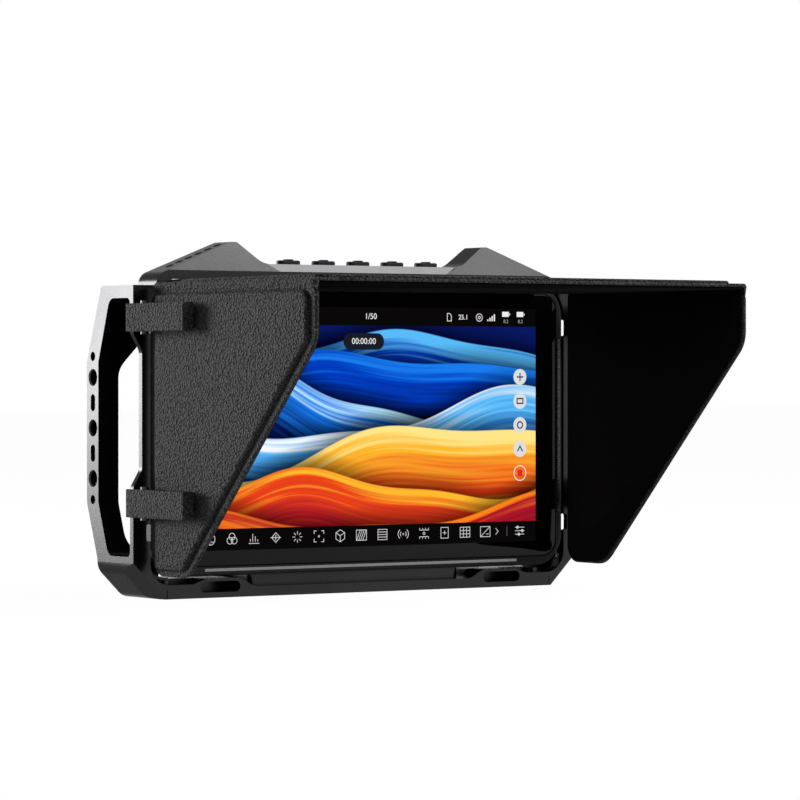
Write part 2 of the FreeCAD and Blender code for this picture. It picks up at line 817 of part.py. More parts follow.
def rear_housing():
    """Rear shell: a step behind the bezel, then a narrower hollow back with vents and pockets."""
    step = slab(step_width, body_height, body_corner, depth(bezel_depth), depth(body_depth))
    step = softened(step, lambda edge: edge.BoundBox.YMin > depth(body_depth - fit_gap), rim_edge)
    near = slab(housing_width, housing_height, housing_corner, depth(body_depth - body_wall),
                depth(housing_depth))
    near = softened(near, lambda edge: edge.BoundBox.YMin > depth(housing_depth - fit_gap), rim_edge * 2)
    shell = fused([step, near])
    wide = slab(housing_width, body_height - 2 * body_wall, body_corner - body_wall,
                depth(bezel_depth - overrun), depth(body_depth - body_wall))
    deep = slab(housing_width - 2 * body_wall, housing_height - 2 * body_wall, housing_corner - body_wall,
                depth(body_depth - 2 * body_wall), depth(housing_depth - body_wall))
    shell = shell.cut(wide).cut(deep)
    groove = slab(step_width + bumper_ring, body_height + bumper_ring, body_corner + bumper_ring / 2,
                  depth(bezel_depth + fit_gap / 2), depth(body_depth - body_wall + fit_gap / 2))
    core = slab(step_width - bumper_ring - fit_gap, body_height - bumper_ring - fit_gap,
                body_corner - bumper_ring / 2, depth(0), depth(body_depth + overrun))
    groove = groove.cut(core)
    for sx in (-1, 1):
        for sz in (-1, 1):
            x, z = sx * half_step, middle + sz * body_height / 2
            reach = bumper_reach + fit_gap
            room = box(x - sx * reach, x + sx * overrun, depth(0), depth(body_depth), z - sz * reach,
                       z + sz * overrun)
            shell = shell.cut(groove.common(room))
    for i in range(vent_count):
        x = (i - (vent_count - 1) / 2) * vent_pitch
        z1 = housing_top - vent_top_gap
        corners = rectangle(x - vent_width / 2, x + vent_width / 2, z1 - vent_height, z1,
                            vent_width / 2 - pin_gap)
        shell = shell.cut(prism_y(corners, depth(housing_depth - body_wall - overrun),
                                  depth(housing_depth + overrun)))
    for side in (-1, 1):
        shell = shell.cut(plate_room(side))
    for cutter in socket_rooms():
        shell = shell.cut(cutter)
    for place in rear_screw_places():
        shell = shell.cut(rear_screw(place, pin_gap))
    for side in (-1, 1):
        shell = shell.cut(rod(V(side * mount_screw_x, 0, body_low - overrun), V(0, 0, 1),
                              screw_diameter / 2 + pin_gap, overrun + mount_screw_length))
    return max(shell.Solids, key=lambda solid: solid.Volume)


def plate_room(side):
    """Pocket in the housing's back for a battery plate and its latch's way."""
    x = side * plate_middle
    z0 = plate_low()
    room = box(x - plate_width / 2 - fit_gap / 3, x + plate_width / 2 + fit_gap / 3,
               depth(housing_depth - plate_thick / 2), depth(housing_depth + overrun),
               z0 - fit_gap / 3, z0 + plate_height + fit_gap / 3)
    return room


def plate_low():
    """Height of a battery plate's lower edge."""
    return middle - plate_height / 2 - plate_drop


def battery_plate(side):
    """Battery plate: four keyed slots, contact windows and a well for the latch button."""
    x = side * plate_middle
    y0 = depth(housing_depth - plate_thick / 2)
    z0 = plate_low()
    corners = rectangle(x - plate_width / 2, x + plate_width / 2, z0, z0 + plate_height, plate_corner)
    plate = prism_y(corners, y0, y0 + plate_thick)
    for sx in (-1, 1):
        for row in (-1, 1):
            kx = x + sx * (plate_width / 2 - key_width)
            kz = z0 + plate_height / 2 + row * key_pitch / 2
            plate = plate.cut(box(kx - key_width / 2, kx + key_width / 2, y0 + plate_thick / 2,
                                  y0 + plate_thick + overrun, kz - key_length / 2, kz + key_length / 2))
    for cx in contact_places(side):
        plate = plate.cut(box(cx - contact_width, cx + contact_width, y0 + plate_thick / 2,
                              y0 + plate_thick + overrun, contact_low() - contact_width,
                              contact_low() + contact_height + contact_width))
    lz = latch_low()
    plate = plate.cut(box(x - latch_width / 2 - button_gap, x + latch_width / 2 + button_gap,
                          y0 + plate_thick / 2, y0 + plate_thick + overrun,
                          lz - latch_travel - button_gap, lz + latch_height + button_gap))
    return plate


def contact_places(side):
    """X of each battery contact on one plate."""
    return [side * plate_middle + step * contact_spread for step in (-1, 0, 1)]


def contact_low():
    """Height of the battery contacts' lower ends."""
    return plate_low() + plate_height - contact_height * 2


def battery_contacts():
    """Sprung blades of both battery plates."""
    blades = []
    y0 = depth(housing_depth)
    for side in (-1, 1):
        for x in contact_places(side):
            blades.append(box(x - contact_width / 2, x + contact_width / 2, y0, y0 + contact_proud,
                              contact_low(), contact_low() + contact_height))
    return blades


def latch_low():
    """Height of a latch button's lower edge at rest."""
    return plate_low() + latch_above


def battery_latch(side):
    """Latch button that slides down to free a battery."""
    x = side * plate_middle
    y0 = depth(housing_depth) + pin_gap
    corners = rectangle(x - latch_width / 2, x + latch_width / 2, latch_low(), latch_low() + latch_height,
                        button_round)
    latch = prism_y(corners, y0, y0 + latch_thick)
    for i in (-1, 0, 1):
        z = latch_low() + latch_height / 2 + i * latch_height / 4
        latch = latch.cut(box(x - latch_width / 3, x + latch_width / 3, y0 + latch_thick - button_bump,
                              y0 + latch_thick + overrun, z - button_bump / 2, z + button_bump / 2))
    return latch


def socket_rooms():
    """Openings in the housing's flanks for the sockets, and the screw seats' way."""
    wall_x = housing_width / 2 - body_wall - overrun / 2
    end = housing_width / 2 + overrun
    rooms = []
    for side, rise, width, height in socket_table():
        z = middle + rise
        y = depth(socket_bed)
        grow = pin_gap
        rooms.append(box(side * wall_x, side * end, y - height / 2 - grow, y + height / 2 + grow,
                         z - width / 2 - grow, z + width / 2 + grow))
    return rooms


def socket_table():
    """Side, rise above the middle, length along the flank and height of each socket."""
    return [(-1, video_rise, video_width, video_height), (-1, power_rise, power_diameter, power_diameter),
            (1, data_rise, data_width, data_height), (1, phones_rise, phones_diameter, phones_diameter),
            (1, card_rise, card_width, card_height), (-1, -video_rise, video_width, video_height)]


def shell_socket(row):
    """Socket with an open mouth on the housing's flank."""
    side, rise, width, height = socket_table()[row]
    z = middle + rise
    y = depth(socket_bed)
    outside = side * housing_width / 2
    inside = outside - side * socket_deep
    case = box(inside, outside, y - height / 2, y + height / 2, z - width / 2, z + width / 2)
    mouth = box(inside + side * socket_wall, outside + side * overrun, y - height / 2 + socket_wall,
                y + height / 2 - socket_wall, z - width / 2 + socket_wall, z + width / 2 - socket_wall)
    return case.cut(mouth)


def round_socket(row, bore):
    """Socket with a round bore in a square case."""
    side, rise, width, height = socket_table()[row]
    z = middle + rise
    y = depth(socket_bed)
    outside = side * housing_width / 2
    inside = outside - side * socket_deep
    case = box(inside, outside, y - height / 2, y + height / 2, z - width / 2, z + width / 2)
    return case.cut(rod(V(outside, y, z), V(-side, 0, 0), bore / 2, socket_deep - socket_wall))


def rear_screw_places():
    """Places of the screws in the rear step, as (x, z)."""
    x = (half_step + housing_width / 2) / 2
    return [(sx * x, middle + sz * housing_height / 4) for sx in (-1, 1) for sz in (-1, 1)]


def rear_screw(place, grow=0.0):
    """Screw that closes the rear housing, seen from behind."""
    x, z = place
    start = V(x, depth(body_depth), z)
    head = rod(start, V(0, -1, 0), rear_screw_head / 2 + grow, rear_screw_thick)
    shank = rod(start, V(0, -1, 0), screw_diameter / 2 + grow, rear_screw_length)
    return head.fuse(shank).removeSplitter()


def cage_screws():
    """Screws that join the side loops to both rails."""
    found = []
    for side in (-1, 1):
        for place in (cage_screw_near, cage_screw_far):
            found.append(screw(V(side * cage_screw_x, depth(place), 0), V(0, 0, 1),
                               tongue_thick + cage_screw_length))
        head = V(side * ear_screw_x, depth(ear_screw_place), loop_top)
        found.append(screw(head, V(0, 0, -1), roof_thick))
    return found


def mount_screws():
    """Screws through the bottom rail that hold the monitor."""
    return [screw(V(side * mount_screw_x, 0, 0), V(0, 0, 1), body_low + mount_screw_length - overrun)
            for side in (-1, 1)]


def strap_posts():
    """Upright steel pins on short stems, one for each strap."""
    posts = []
    for side in (-1, 1):
        for z in (strap_upper, strap_lower):
            tall = strap_high + 2 * post_proud
            foot = V(side * post_x, depth(-post_place), z - tall / 2)
            pin = rod(foot, V(0, 0, 1), post_diameter / 2, tall)
            stem = rod(V(side * post_x, depth(-post_place), z), V(0, 1, 0), stem_diameter / 2,
                       post_place + stem_sink)
            posts.append(pin.fuse(stem).removeSplitter())
    return posts


def strap_tab(side, z):
    """Padded strap tab that swings on its post, with two knuckles round the pin."""
    inner = strap_face - strap_thick
    low, high = z - strap_high / 2, z + strap_high / 2
    corners = rectangle(side * strap_face, side * inner, depth(-strap_front), depth(-post_place), 0)
    corners = [(x, y, strap_round if y < depth(-post_place) else 0) for x, y, _ in corners]
    plate = prism_z(corners, low, high)
    barrel = rod(V(side * post_x, depth(-post_place), low), V(0, 0, 1), knuckle_radius, strap_high)
    tab = plate.fuse(barrel).removeSplitter()
    bore = rod(V(side * post_x, depth(-post_place), low - overrun), V(0, 0, 1), post_diameter / 2 + pin_gap,
               strap_high + 2 * overrun)
    room = knuckle_radius + fit_gap
    notch = rod(V(side * post_x, depth(-post_place), z - stem_room / 2), V(0, 0, 1), room, stem_room)
    return tab.cut(bore).cut(notch)


def strap_tails():
    """Ends of the straps, folded over the cage's front bars."""
    found = []
    for side in (-1, 1):
        for z in (strap_upper, strap_lower):
            low, high = z - strap_high / 2, z + strap_high / 2
            back = front_bar_depth + tail_thick
            cover = box(side * half_cage, side * strap_face, depth(-tail_lead), depth(back), low, high)
            hook = box(side * (half_cage - tail_hook), side * half_cage, depth(front_bar_depth), depth(back),
                       low, high)
            found.append(cover.fuse(hook).removeSplitter())
    return found


def hook_patches(side):
    """Hook-and-loop patches on a flap's pad, where the strap tabs close."""
    return [box(side * pad_face, side * (pad_face + patch_thick), depth(-patch_end), depth(-patch_start),
                z - patch_high / 2, z + patch_high / 2) for z in (strap_upper, strap_lower)]


def flap_outline(inset_top, inset_front, inset_bottom, inset_rear, radius):
    """Side view of a hood flap, drawn in by the given margins."""
    top = flap_top - inset_top
    reach = depth(-hood_reach + inset_front)
    rear = depth(-hood_start - inset_rear)
    low = flap_bottom + inset_bottom
    run = hood_reach - flap_foot
    fall = flap_front_low - flap_bottom
    slide = inset_front * math.hypot(run, fall) / fall * slide_share
    foot = depth(-flap_foot) + slide * run / math.hypot(run, fall)
    corner = flap_front_low + (inset_front - slide) * fall / run
    return [(rear, low, radius / 2), (rear, top, 0), (reach, top, radius / 4),
            (reach, corner, radius), (foot, low, radius)]


def flap_sheet(side):
    """Leather base of a side flap."""
    outline = flap_outline(0, 0, 0, 0, flap_round)
    return prism_x(outline, side * flap_face, side * (flap_face + leather))


def flap_cushion(side):
    """Raised pad on the outside of a flap."""
    outline = flap_outline(pad_top_inset, pad_front_inset, pad_bottom_inset, pad_rear_inset, pad_round)
    return prism_x(outline, side * (flap_face + leather), side * pad_face)


def flap_lining(side):
    """Velvet lining inside a flap."""
    outline = flap_outline(0, lining, lining, lining, flap_round)
    return prism_x(outline, side * (flap_face - lining), side * flap_face)


def hood_plan(side_inset, front_inset, rear_inset, radius):
    """Plan of the hood's top, drawn in by the given margins."""
    half = flap_face + leather - side_inset
    return rectangle(-half, half, depth(-hood_reach + front_inset), depth(-hood_start - rear_inset), radius)


def hood_top_sheet():
    """Leather top of the hood."""
    return prism_z(hood_plan(0, 0, 0, leather), hood_top - leather, hood_top)


def hood_top_pad():
    """Raised pad on the hood's top."""
    plan = hood_plan(top_pad_side, pad_front_inset, top_pad_rear, pad_round)
    return prism_z(plan, hood_top, hood_top + top_pad)


def hood_top_lining():
    """Velvet lining under the hood's top."""
    plan = hood_plan(leather, lining, lining, lining)
    return prism_z(plan, hood_top - leather - lining, hood_top - leather)


def hood_hinge_strip():
    """Leather strip on the bezel that carries the hood's top."""
    return box(-hinge_strip_half, hinge_strip_half, depth(-hinge_strip_thick), depth(0),
               body_top - hinge_strip_height, hood_top)


def build():
    """Make every piece and write it."""
    os.makedirs("parts", exist_ok=True)
    side = cage_side()
    save("cage_left_side", side)
    save("cage_right_side", mirrored(side))
    save("cage_bottom_rail", cage_bottom_rail())
    save("cage_top_rail", cage_top_rail())
    save("cage_screws", *cage_screws())
    save("mount_screws", *mount_screws())
    save("strap_posts", *strap_posts())
    save("strap_tails", *strap_tails())
    for name, sx in (("left", -1), ("right", 1)):
        save(f"strap_tab_{name}_upper", strap_tab(sx, strap_upper))
        save(f"strap_tab_{name}_lower", strap_tab(sx, strap_lower))
        save(f"hook_patches_{name}", *hook_patches(sx))
        save(f"flap_{name}_sheet", flap_sheet(sx))
        save(f"flap_{name}_pad", flap_cushion(sx))
        save(f"flap_{name}_lining", flap_lining(sx))
        save(f"battery_plate_{name}", battery_plate(sx))
        save(f"battery_latch_{name}", battery_latch(sx))
    save("hood_top_sheet", hood_top_sheet())
    save("hood_top_pad", hood_top_pad())
    save("hood_top_lining", hood_top_lining())
    save("hood_hinge_strip", hood_hinge_strip())
    save("front_bezel", front_bezel())
    save("edge_strips", *edge_strips())
    save("corner_bumpers", *corner_bumpers())
    save("cover_glass", cover_glass())
    save("display_panel", display_panel())
    save("chassis_plate", chassis_plate())
    save("main_board", main_board())
    save("antennas", *antennas())
    save("rear_housing", rear_housing())
    save("rear_screws", *[rear_screw(place) for place in rear_screw_places()])
    save("battery_contacts", *battery_contacts())
    save("button_strip", button_strip())
    save("tact_switches", *tact_switches())
    for i, x in enumerate(button_places()):
        save(f"button_{i + 1}", button(x))
    save("video_in_socket", shell_socket(0))
    save("power_socket", round_socket(1, power_bore))
    save("data_socket", shell_socket(2))
    save("headphone_socket", round_socket(3, phones_bore))
    save("card_slot", shell_socket(4))
    save("video_out_socket", shell_socket(5))


build()
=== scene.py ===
# %% [markdown]
# # A recording monitor in its cage, dressed in Blender
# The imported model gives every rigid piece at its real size, in metres, in one shared frame: X to the
# viewer's right, Y away from the viewer, Z up. This lesson keeps that frame fixed and adds what the eye
# looks for: pebbled leather, velvet, anodised metal, a lit screen, studio light and the camera of the
# photograph.

# %% Load the frame
import bpy
import bmesh
import json
import math
from mathutils import Matrix, Vector
from mathutils.geometry import delaunay_2d_cdt


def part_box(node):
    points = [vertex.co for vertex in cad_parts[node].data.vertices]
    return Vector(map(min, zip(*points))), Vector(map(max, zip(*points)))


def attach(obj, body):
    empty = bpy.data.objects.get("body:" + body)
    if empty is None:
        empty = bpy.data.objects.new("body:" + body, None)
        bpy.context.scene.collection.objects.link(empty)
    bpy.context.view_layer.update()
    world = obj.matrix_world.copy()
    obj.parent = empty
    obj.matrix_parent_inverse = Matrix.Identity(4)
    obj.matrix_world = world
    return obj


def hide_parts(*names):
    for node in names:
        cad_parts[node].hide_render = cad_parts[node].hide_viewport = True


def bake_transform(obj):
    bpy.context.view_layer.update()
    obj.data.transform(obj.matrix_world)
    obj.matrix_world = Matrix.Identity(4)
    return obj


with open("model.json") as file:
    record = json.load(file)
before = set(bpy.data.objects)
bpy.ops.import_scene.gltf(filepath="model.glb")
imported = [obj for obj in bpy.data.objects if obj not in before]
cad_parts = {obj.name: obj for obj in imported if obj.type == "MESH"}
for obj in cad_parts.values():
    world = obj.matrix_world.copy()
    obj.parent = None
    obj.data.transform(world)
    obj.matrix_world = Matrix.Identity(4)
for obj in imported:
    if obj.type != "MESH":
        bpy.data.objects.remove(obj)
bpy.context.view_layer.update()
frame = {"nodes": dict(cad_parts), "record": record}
nodes = frame["nodes"]
MM = 0.001
print("pieces in the frame:", len(nodes))

# %% [markdown]
# ## Where the camera stood
# The camera was found by fitting a pinhole camera to the screen's four corners and the cage's outline. It
# is a long lens, 34 degrees to the left of straight ahead and nearly level. A round guess at its distance
# would be simpler, but the real one makes the hood's near and far edges shrink by the right amount.

# %% Camera
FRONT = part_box("cover_glass")[0].y
CAMERA_TURN = math.radians(34.371)
CAMERA_DIP = math.radians(0.402)
CAMERA_PLACE = Vector((-793.231, -1182.707, 80.031)) * MM + Vector((0, FRONT, 0))
LENS_MM = 175.8
SENSOR_MM = 36.0


def add_camera():
    data = bpy.data.cameras.new("photo_camera")
    data.lens = LENS_MM
    data.sensor_width = SENSOR_MM
    camera = bpy.data.objects.new("photo_camera", data)
    bpy.context.scene.collection.objects.link(camera)
    flat = math.cos(CAMERA_DIP)
    look = Vector((math.sin(CAMERA_TURN) * flat, math.cos(CAMERA_TURN) * flat, -math.sin(CAMERA_DIP)))
    camera.location = CAMERA_PLACE
    camera.rotation_mode = "QUATERNION"
    camera.rotation_quaternion = look.to_track_quat("-Z", "Y")
    bpy.context.scene.camera = camera
    return camera


camera = add_camera()
print("camera at", [round(value, 3) for value in camera.location])

# %% [markdown]
# ## Studio: floor, world and lamps
# The photograph is a product shot on white. A soft lamp stands behind and to the left, so that the cage's
# left faces mirror it and its light grazes the leather, which brings out the grain. A second one stands in
# front, high on the right: it lights the horns, while the hood keeps it off the screen. A third one hangs
# above on the right, where the sloped band of the top rail mirrors it. The world is white only to the
# camera and to mirror-like rays, so the background is clean and the black parts stay black.

# %% Node helpers
def sums(tree, operation, *values):
    """Math node whose inputs are numbers or other outputs."""
    node = tree.nodes.new("ShaderNodeMath")
    node.operation = operation
    for slot_in, value in zip(node.inputs, values):
        if isinstance(value, (int, float)):
            slot_in.default_value = value
        else:
            tree.links.new(value, slot_in)
    return node.outputs[0]


def between(tree, value, low, high, out_low, out_high):
    """Carry one range onto another, held at both ends."""
    node = tree.nodes.new("ShaderNodeMapRange")
    for label, number in zip(("From Min", "From Max", "To Min", "To Max"), (low, high, out_low, out_high)):
        node.inputs[label].default_value = number
    tree.links.new(value, node.inputs["Value"])
    return node.outputs["Result"]


print("node helpers: sums, between")

# %% Studio
FLOOR_SIZE = 12.0
PAPER = (0.92, 0.92, 0.92, 1)
WORLD_LEVEL = 0.05
FLOOR_GLOW = 0.98
# Each lamp: name, place, aim, width and height, all in metres, and watts.
LAMPS = [
    ("left_softbox", (-0.97, 1.25, 0.27), (-0.09, -0.03, 0.06), (0.55, 0.6), 42),
    ("right_softbox", (0.95, -1.05, 0.9), (0, 0, 0.12), (0.9, 0.8), 20),
    ("top_strip", (0.84, -0.6, 1.25), (0, 0, 0.11), (0.8, 0.5), 18),
]


def seen_plainly(tree):
    """1 for camera, glossy and transmission rays, and 0 for the rays that light the object."""
    path = tree.nodes.new("ShaderNodeLightPath")
    total = path.outputs["Is Camera Ray"]
    for kind in ("Is Glossy Ray", "Is Transmission Ray"):
        total = sums(tree, "MAXIMUM", total, path.outputs[kind])
    return total


def white_world():
    world = bpy.data.worlds.new("studio")
    bpy.context.scene.world = world
    world.use_nodes = True
    tree = world.node_tree
    back = tree.nodes["Background"]
    back.inputs["Color"].default_value = (1, 1, 1, 1)
    level = between(tree, seen_plainly(tree), 0.0, 1.0, WORLD_LEVEL, 1.0)
    tree.links.new(level, back.inputs["Strength"])


def paper_floor():
    bpy.ops.mesh.primitive_plane_add(size=FLOOR_SIZE)
    floor = bpy.context.object
    floor.name = "studio_floor"
    material = bpy.data.materials.new("paper")
    material.use_nodes = True
    tree = material.node_tree
    tree.nodes.clear()
    out = tree.nodes.new("ShaderNodeOutputMaterial")
    matt = tree.nodes.new("ShaderNodeBsdfDiffuse")
    matt.inputs["Color"].default_value = PAPER
    glow = tree.nodes.new("ShaderNodeEmission")
    mix = tree.nodes.new("ShaderNodeMixShader")
    tree.links.new(sums(tree, "MULTIPLY", seen_plainly(tree), FLOOR_GLOW), mix.inputs["Fac"])
    tree.links.new(matt.outputs[0], mix.inputs[1])
    tree.links.new(glow.outputs[0], mix.inputs[2])
    tree.links.new(mix.outputs[0], out.inputs["Surface"])
    floor.data.materials.append(material)
    return floor


def soft_lamp(name, place, aim, size, watts):
    data = bpy.data.lights.new(name, "AREA")
    data.shape = "RECTANGLE"
    data.size, data.size_y = size
    data.energy = watts
    lamp = bpy.data.objects.new(name, data)
    bpy.context.scene.collection.objects.link(lamp)
    lamp.location = place
    lamp.rotation_mode = "QUATERNION"
    lamp.rotation_quaternion = (Vector(aim) - Vector(place)).to_track_quat("-Z", "Y")
    return lamp


white_world()
paper_floor()
for lamp_row in LAMPS:
    soft_lamp(*lamp_row)
bpy.context.scene.view_settings.view_transform = "Standard"
print("lamps:", [light.name for light in bpy.data.lights])

# %% [markdown]
# ## Finishes
# Every finish is a small node tree. The helper below starts a Principled shader; each finish then adds the
# grain, speckle or wear that the real surface shows, at its real scale in metres. Object coordinates are
# used throughout, because every piece keeps the shared frame, so a grain runs on from one piece to the
# next.

# %% Finish helpers
# Most of a noise lies between these two values.
NOISE_LOW, NOISE_HIGH = 0.3, 0.7
BLUE_CAST = 1.02


def new_finish(name, colour, rough, metal=0.0, shine=0.5):
    material = bpy.data.materials.new(name)
    material.use_nodes = True
    shader = material.node_tree.nodes["Principled BSDF"]
    shader.inputs["Base Color"].default_value = (*colour, 1)
    shader.inputs["Roughness"].default_value = rough
    shader.inputs["Metallic"].default_value = metal
    shader.inputs["Specular IOR Level"].default_value = shine
    return material, material.node_tree, shader


def place_of(tree):
    return tree.nodes.new("ShaderNodeTexCoord").outputs["Object"]


def noise(tree, scale, detail=3.0, stretch=None):
    """Noise whose scale counts waves in a metre; stretch squeezes it along an axis."""
    texture = tree.nodes.new("ShaderNodeTexNoise")
    texture.inputs["Scale"].default_value = scale
    texture.inputs["Detail"].default_value = detail
    where = place_of(tree)
    if stretch:
        mapping = tree.nodes.new("ShaderNodeMapping")
        mapping.inputs["Scale"].default_value = stretch
        tree.links.new(where, mapping.inputs["Vector"])
        where = mapping.outputs["Vector"]
    tree.links.new(where, texture.inputs["Vector"])
    return texture.outputs["Fac"]


def roughened(tree, shader, source, low, high):
    """Roughness that wanders between two values with a noise."""
    value = between(tree, source, NOISE_LOW, NOISE_HIGH, low, high)
    tree.links.new(value, shader.inputs["Roughness"])


def tint(tree, shader, source, dark, light):
    """Base colour that wanders between two tones with a noise."""
    node = tree.nodes.new("ShaderNodeValToRGB")
    for element, position, colour in zip(node.color_ramp.elements, (NOISE_LOW, NOISE_HIGH), (dark, light)):
        element.position = position
        element.color = (*colour, 1)
    tree.links.new(source, node.inputs["Fac"])
    tree.links.new(node.outputs["Color"], shader.inputs["Base Color"])


def bumped(tree, shader, height, strength, depth):
    node = tree.nodes.new("ShaderNodeBump")
    node.inputs["Strength"].default_value = strength
    node.inputs["Distance"].default_value = depth
    tree.links.new(height, node.inputs["Height"])
    tree.links.new(node.outputs["Normal"], shader.inputs["Normal"])


def grey(level):
    return (level, level, level * BLUE_CAST)


print("finish helpers: noise, roughened, tint, bumped")

# %% [markdown]
# ## Metal of the cage
# The cage is machined aluminium, bead blasted and dyed black. The dyed oxide is a dark skin on the metal,
# so a face is nearly black until it mirrors a lamp, and then it turns light grey. A fully metallic shader
# with a dark base colour gives that. Its edge tint is dimmed, so that the white room doesn't grey the faces
# seen at a grazing angle. Blasting leaves a fine even speckle, which goes into the roughness and a shallow
# bump.

# %% Hard finishes
def anodised_finish():
    material, tree, shader = new_finish("anodised_cage", grey(0.03), 0.27, metal=1.0)
    shader.inputs["Specular Tint"].default_value = (0.5, 0.5, 0.5, 1)
    speckle = noise(tree, scale=2600, detail=2.0)
    tint(tree, shader, noise(tree, scale=38), grey(0.028), grey(0.033))
    roughened(tree, shader, speckle, 0.24, 0.29)
    bumped(tree, shader, speckle, strength=0.05, depth=0.05 * MM)
    return material


def plastic_finish(name, level, rough, grain=1800):
    material, tree, shader = new_finish(name, grey(level), rough, shine=0.1)
    pebble = noise(tree, scale=grain, detail=2.0)
    tint(tree, shader, pebble, grey(level * 0.85), grey(level * 1.15))
    roughened(tree, shader, pebble, rough - 0.06, rough + 0.08)
    bumped(tree, shader, pebble, strength=0.18, depth=0.08 * MM)
    return material


def steel_finish(name, level, rough):
    material, tree, shader = new_finish(name, grey(level), rough, metal=1.0)
    brushed = noise(tree, scale=500, detail=2.0, stretch=(1, 1, 12))
    tint(tree, shader, brushed, grey(level * 0.9), grey(level * 1.08))
    roughened(tree, shader, brushed, rough - 0.05, rough + 0.07)
    return material


def rubber_finish():
    material, tree, shader = new_finish("bumper_rubber", grey(0.022), 0.6, shine=0.15)
    dust = noise(tree, scale=900, detail=4.0)
    tint(tree, shader, dust, grey(0.018), grey(0.028))
    bumped(tree, shader, dust, strength=0.15, depth=0.08 * MM)
    return material


def gold_finish():
    material, tree, shader = new_finish("contact_gold", (0.83, 0.62, 0.24), 0.25, metal=1.0)
    tint(tree, shader, noise(tree, scale=700), (0.74, 0.53, 0.2), (0.86, 0.66, 0.28))
    return material


def board_finish():
    material, tree, shader = new_finish("solder_mask", (0.01, 0.07, 0.035), 0.35)
    tint(tree, shader, noise(tree, scale=240, detail=2.0), (0.008, 0.05, 0.025), (0.015, 0.09, 0.045))
    return material


finishes = {
    "cage_metal": anodised_finish(),
    "steel": steel_finish("post_steel", 0.05, 0.36),
    "body_plastic": plastic_finish("body_plastic", 0.018, 0.48),
    "button_plastic": plastic_finish("button_plastic", 0.012, 0.5, 2600),
    "trim_metal": steel_finish("edge_trim", 0.2, 0.26),
    "bumper_rubber": rubber_finish(),
    "panel": plastic_finish("panel_back", 0.02, 0.5),
    "chassis_metal": steel_finish("chassis_sheet", 0.5, 0.35),
    "board": board_finish(),
    "contact_metal": gold_finish(),
    "socket_metal": steel_finish("socket_shell", 0.4, 0.3),
}
print("hard finishes:", len(finishes))

# %% [markdown]
# ## Leather, velvet and hook tape
# The hood is faux leather with a pebbled grain: rounded cells about a millimetre wide with creases between
# them. Noise would give soft clouds. Voronoi cells give pebbles, because the distance from a cell's middle
# grows towards its edge, and turned over it is a dome with a crease round it. A little smoothing rounds the
# creases, and a slight warp keeps the cells uneven. The same height also paints the creases darker than
# the domes, which is painted shade. Velvet swallows light; its only sign is a faint sheen at a grazing
# angle.

# %% Soft finishes
GRAIN_CELLS = 1050
GRAIN_STRETCH = (0.9, 0.9, 1.05)
GRAIN_WARP = 0.5 * MM
WARP_CELLS = GRAIN_CELLS * 0.6
GRAIN_SMOOTH = 0.2
GRAIN_DEEP = 0.8 * MM


def leather_grain(tree):
    """Height of the pebbles: 1 at a cell's middle and lower in the creases."""
    where = place_of(tree)
    warp = tree.nodes.new("ShaderNodeTexNoise")
    warp.inputs["Scale"].default_value = WARP_CELLS
    tree.links.new(where, warp.inputs["Vector"])
    moved = tree.nodes.new("ShaderNodeVectorMath")
    moved.operation = "MULTIPLY_ADD"
    moved.inputs[1].default_value = (GRAIN_WARP, GRAIN_WARP, GRAIN_WARP)
    tree.links.new(warp.outputs["Color"], moved.inputs[0])
    tree.links.new(where, moved.inputs[2])
    mapping = tree.nodes.new("ShaderNodeMapping")
    mapping.inputs["Scale"].default_value = GRAIN_STRETCH
    tree.links.new(moved.outputs[0], mapping.inputs["Vector"])
    cells = tree.nodes.new("ShaderNodeTexVoronoi")
    cells.feature = "SMOOTH_F1"
    cells.inputs["Scale"].default_value = GRAIN_CELLS
    cells.inputs["Smoothness"].default_value = GRAIN_SMOOTH
    tree.links.new(mapping.outputs["Vector"], cells.inputs["Vector"])
    return sums(tree, "SUBTRACT", 1.0, cells.outputs["Distance"])


def leather_finish():
    material, tree, shader = new_finish("pebbled_leather", grey(0.03), 0.62, shine=0.06)
    grain = leather_grain(tree)
    # The creases are painted darker than the domes: painted shade in the creases, on top of the bump.
    tint(tree, shader, grain, grey(0.018), grey(0.037))
    roughened(tree, shader, grain, 0.72, 0.56)
    bumped(tree, shader, grain, strength=1.0, depth=GRAIN_DEEP)
    return material


def velvet_finish():
    material, tree, shader = new_finish("black_velvet", grey(0.0025), 0.95, shine=0.0)
    shader.inputs["Sheen Weight"].default_value = 0.015
    shader.inputs["Sheen Roughness"].default_value = 0.5
    pile = noise(tree, scale=3200)
    tint(tree, shader, pile, grey(0.0015), grey(0.004))
    bumped(tree, shader, pile, strength=0.4, depth=0.2 * MM)
    return material


def hook_finish():
    material, tree, shader = new_finish("hook_tape", grey(0.012), 0.85)
    hooks = noise(tree, scale=2400, detail=2.0)
    tint(tree, shader, hooks, grey(0.006), grey(0.02))
    bumped(tree, shader, hooks, strength=0.8, depth=0.3 * MM)
    return material


finishes["leather"] = leather_finish()
finishes["velvet"] = velvet_finish()
finishes["hook_tape"] = hook_finish()
print("all finishes:", len(finishes))

# %% [markdown]
# ## Dress the rigid pieces
# The rigid pieces keep their own meshes. Each takes the finish of its slot in the record, and the visible
# metal and plastic get a fine bevel, because no real edge is perfectly sharp and a bevel is what catches
# the light.

# %% Dress the rigid pieces
EDGE_SOFT = {
    "cage_metal": 0.15 * MM,
    "steel": 0.15 * MM,
    "body_plastic": 0.3 * MM,
    "button_plastic": 0.3 * MM,
}
EDGE_ANGLE = 32


def dress(node, finish):
    mesh = nodes[node].data
    mesh.materials.clear()
    mesh.materials.append(finish)


def soften(piece, width, least_angle=EDGE_ANGLE):
    """Fine bevel on the edges that turn by more than an angle in degrees."""
    bevel = piece.modifiers.new("soft_edges", "BEVEL")
    bevel.width = width
    bevel.segments = 2
    bevel.limit_method = "ANGLE"
    bevel.angle_limit = math.radians(least_angle)


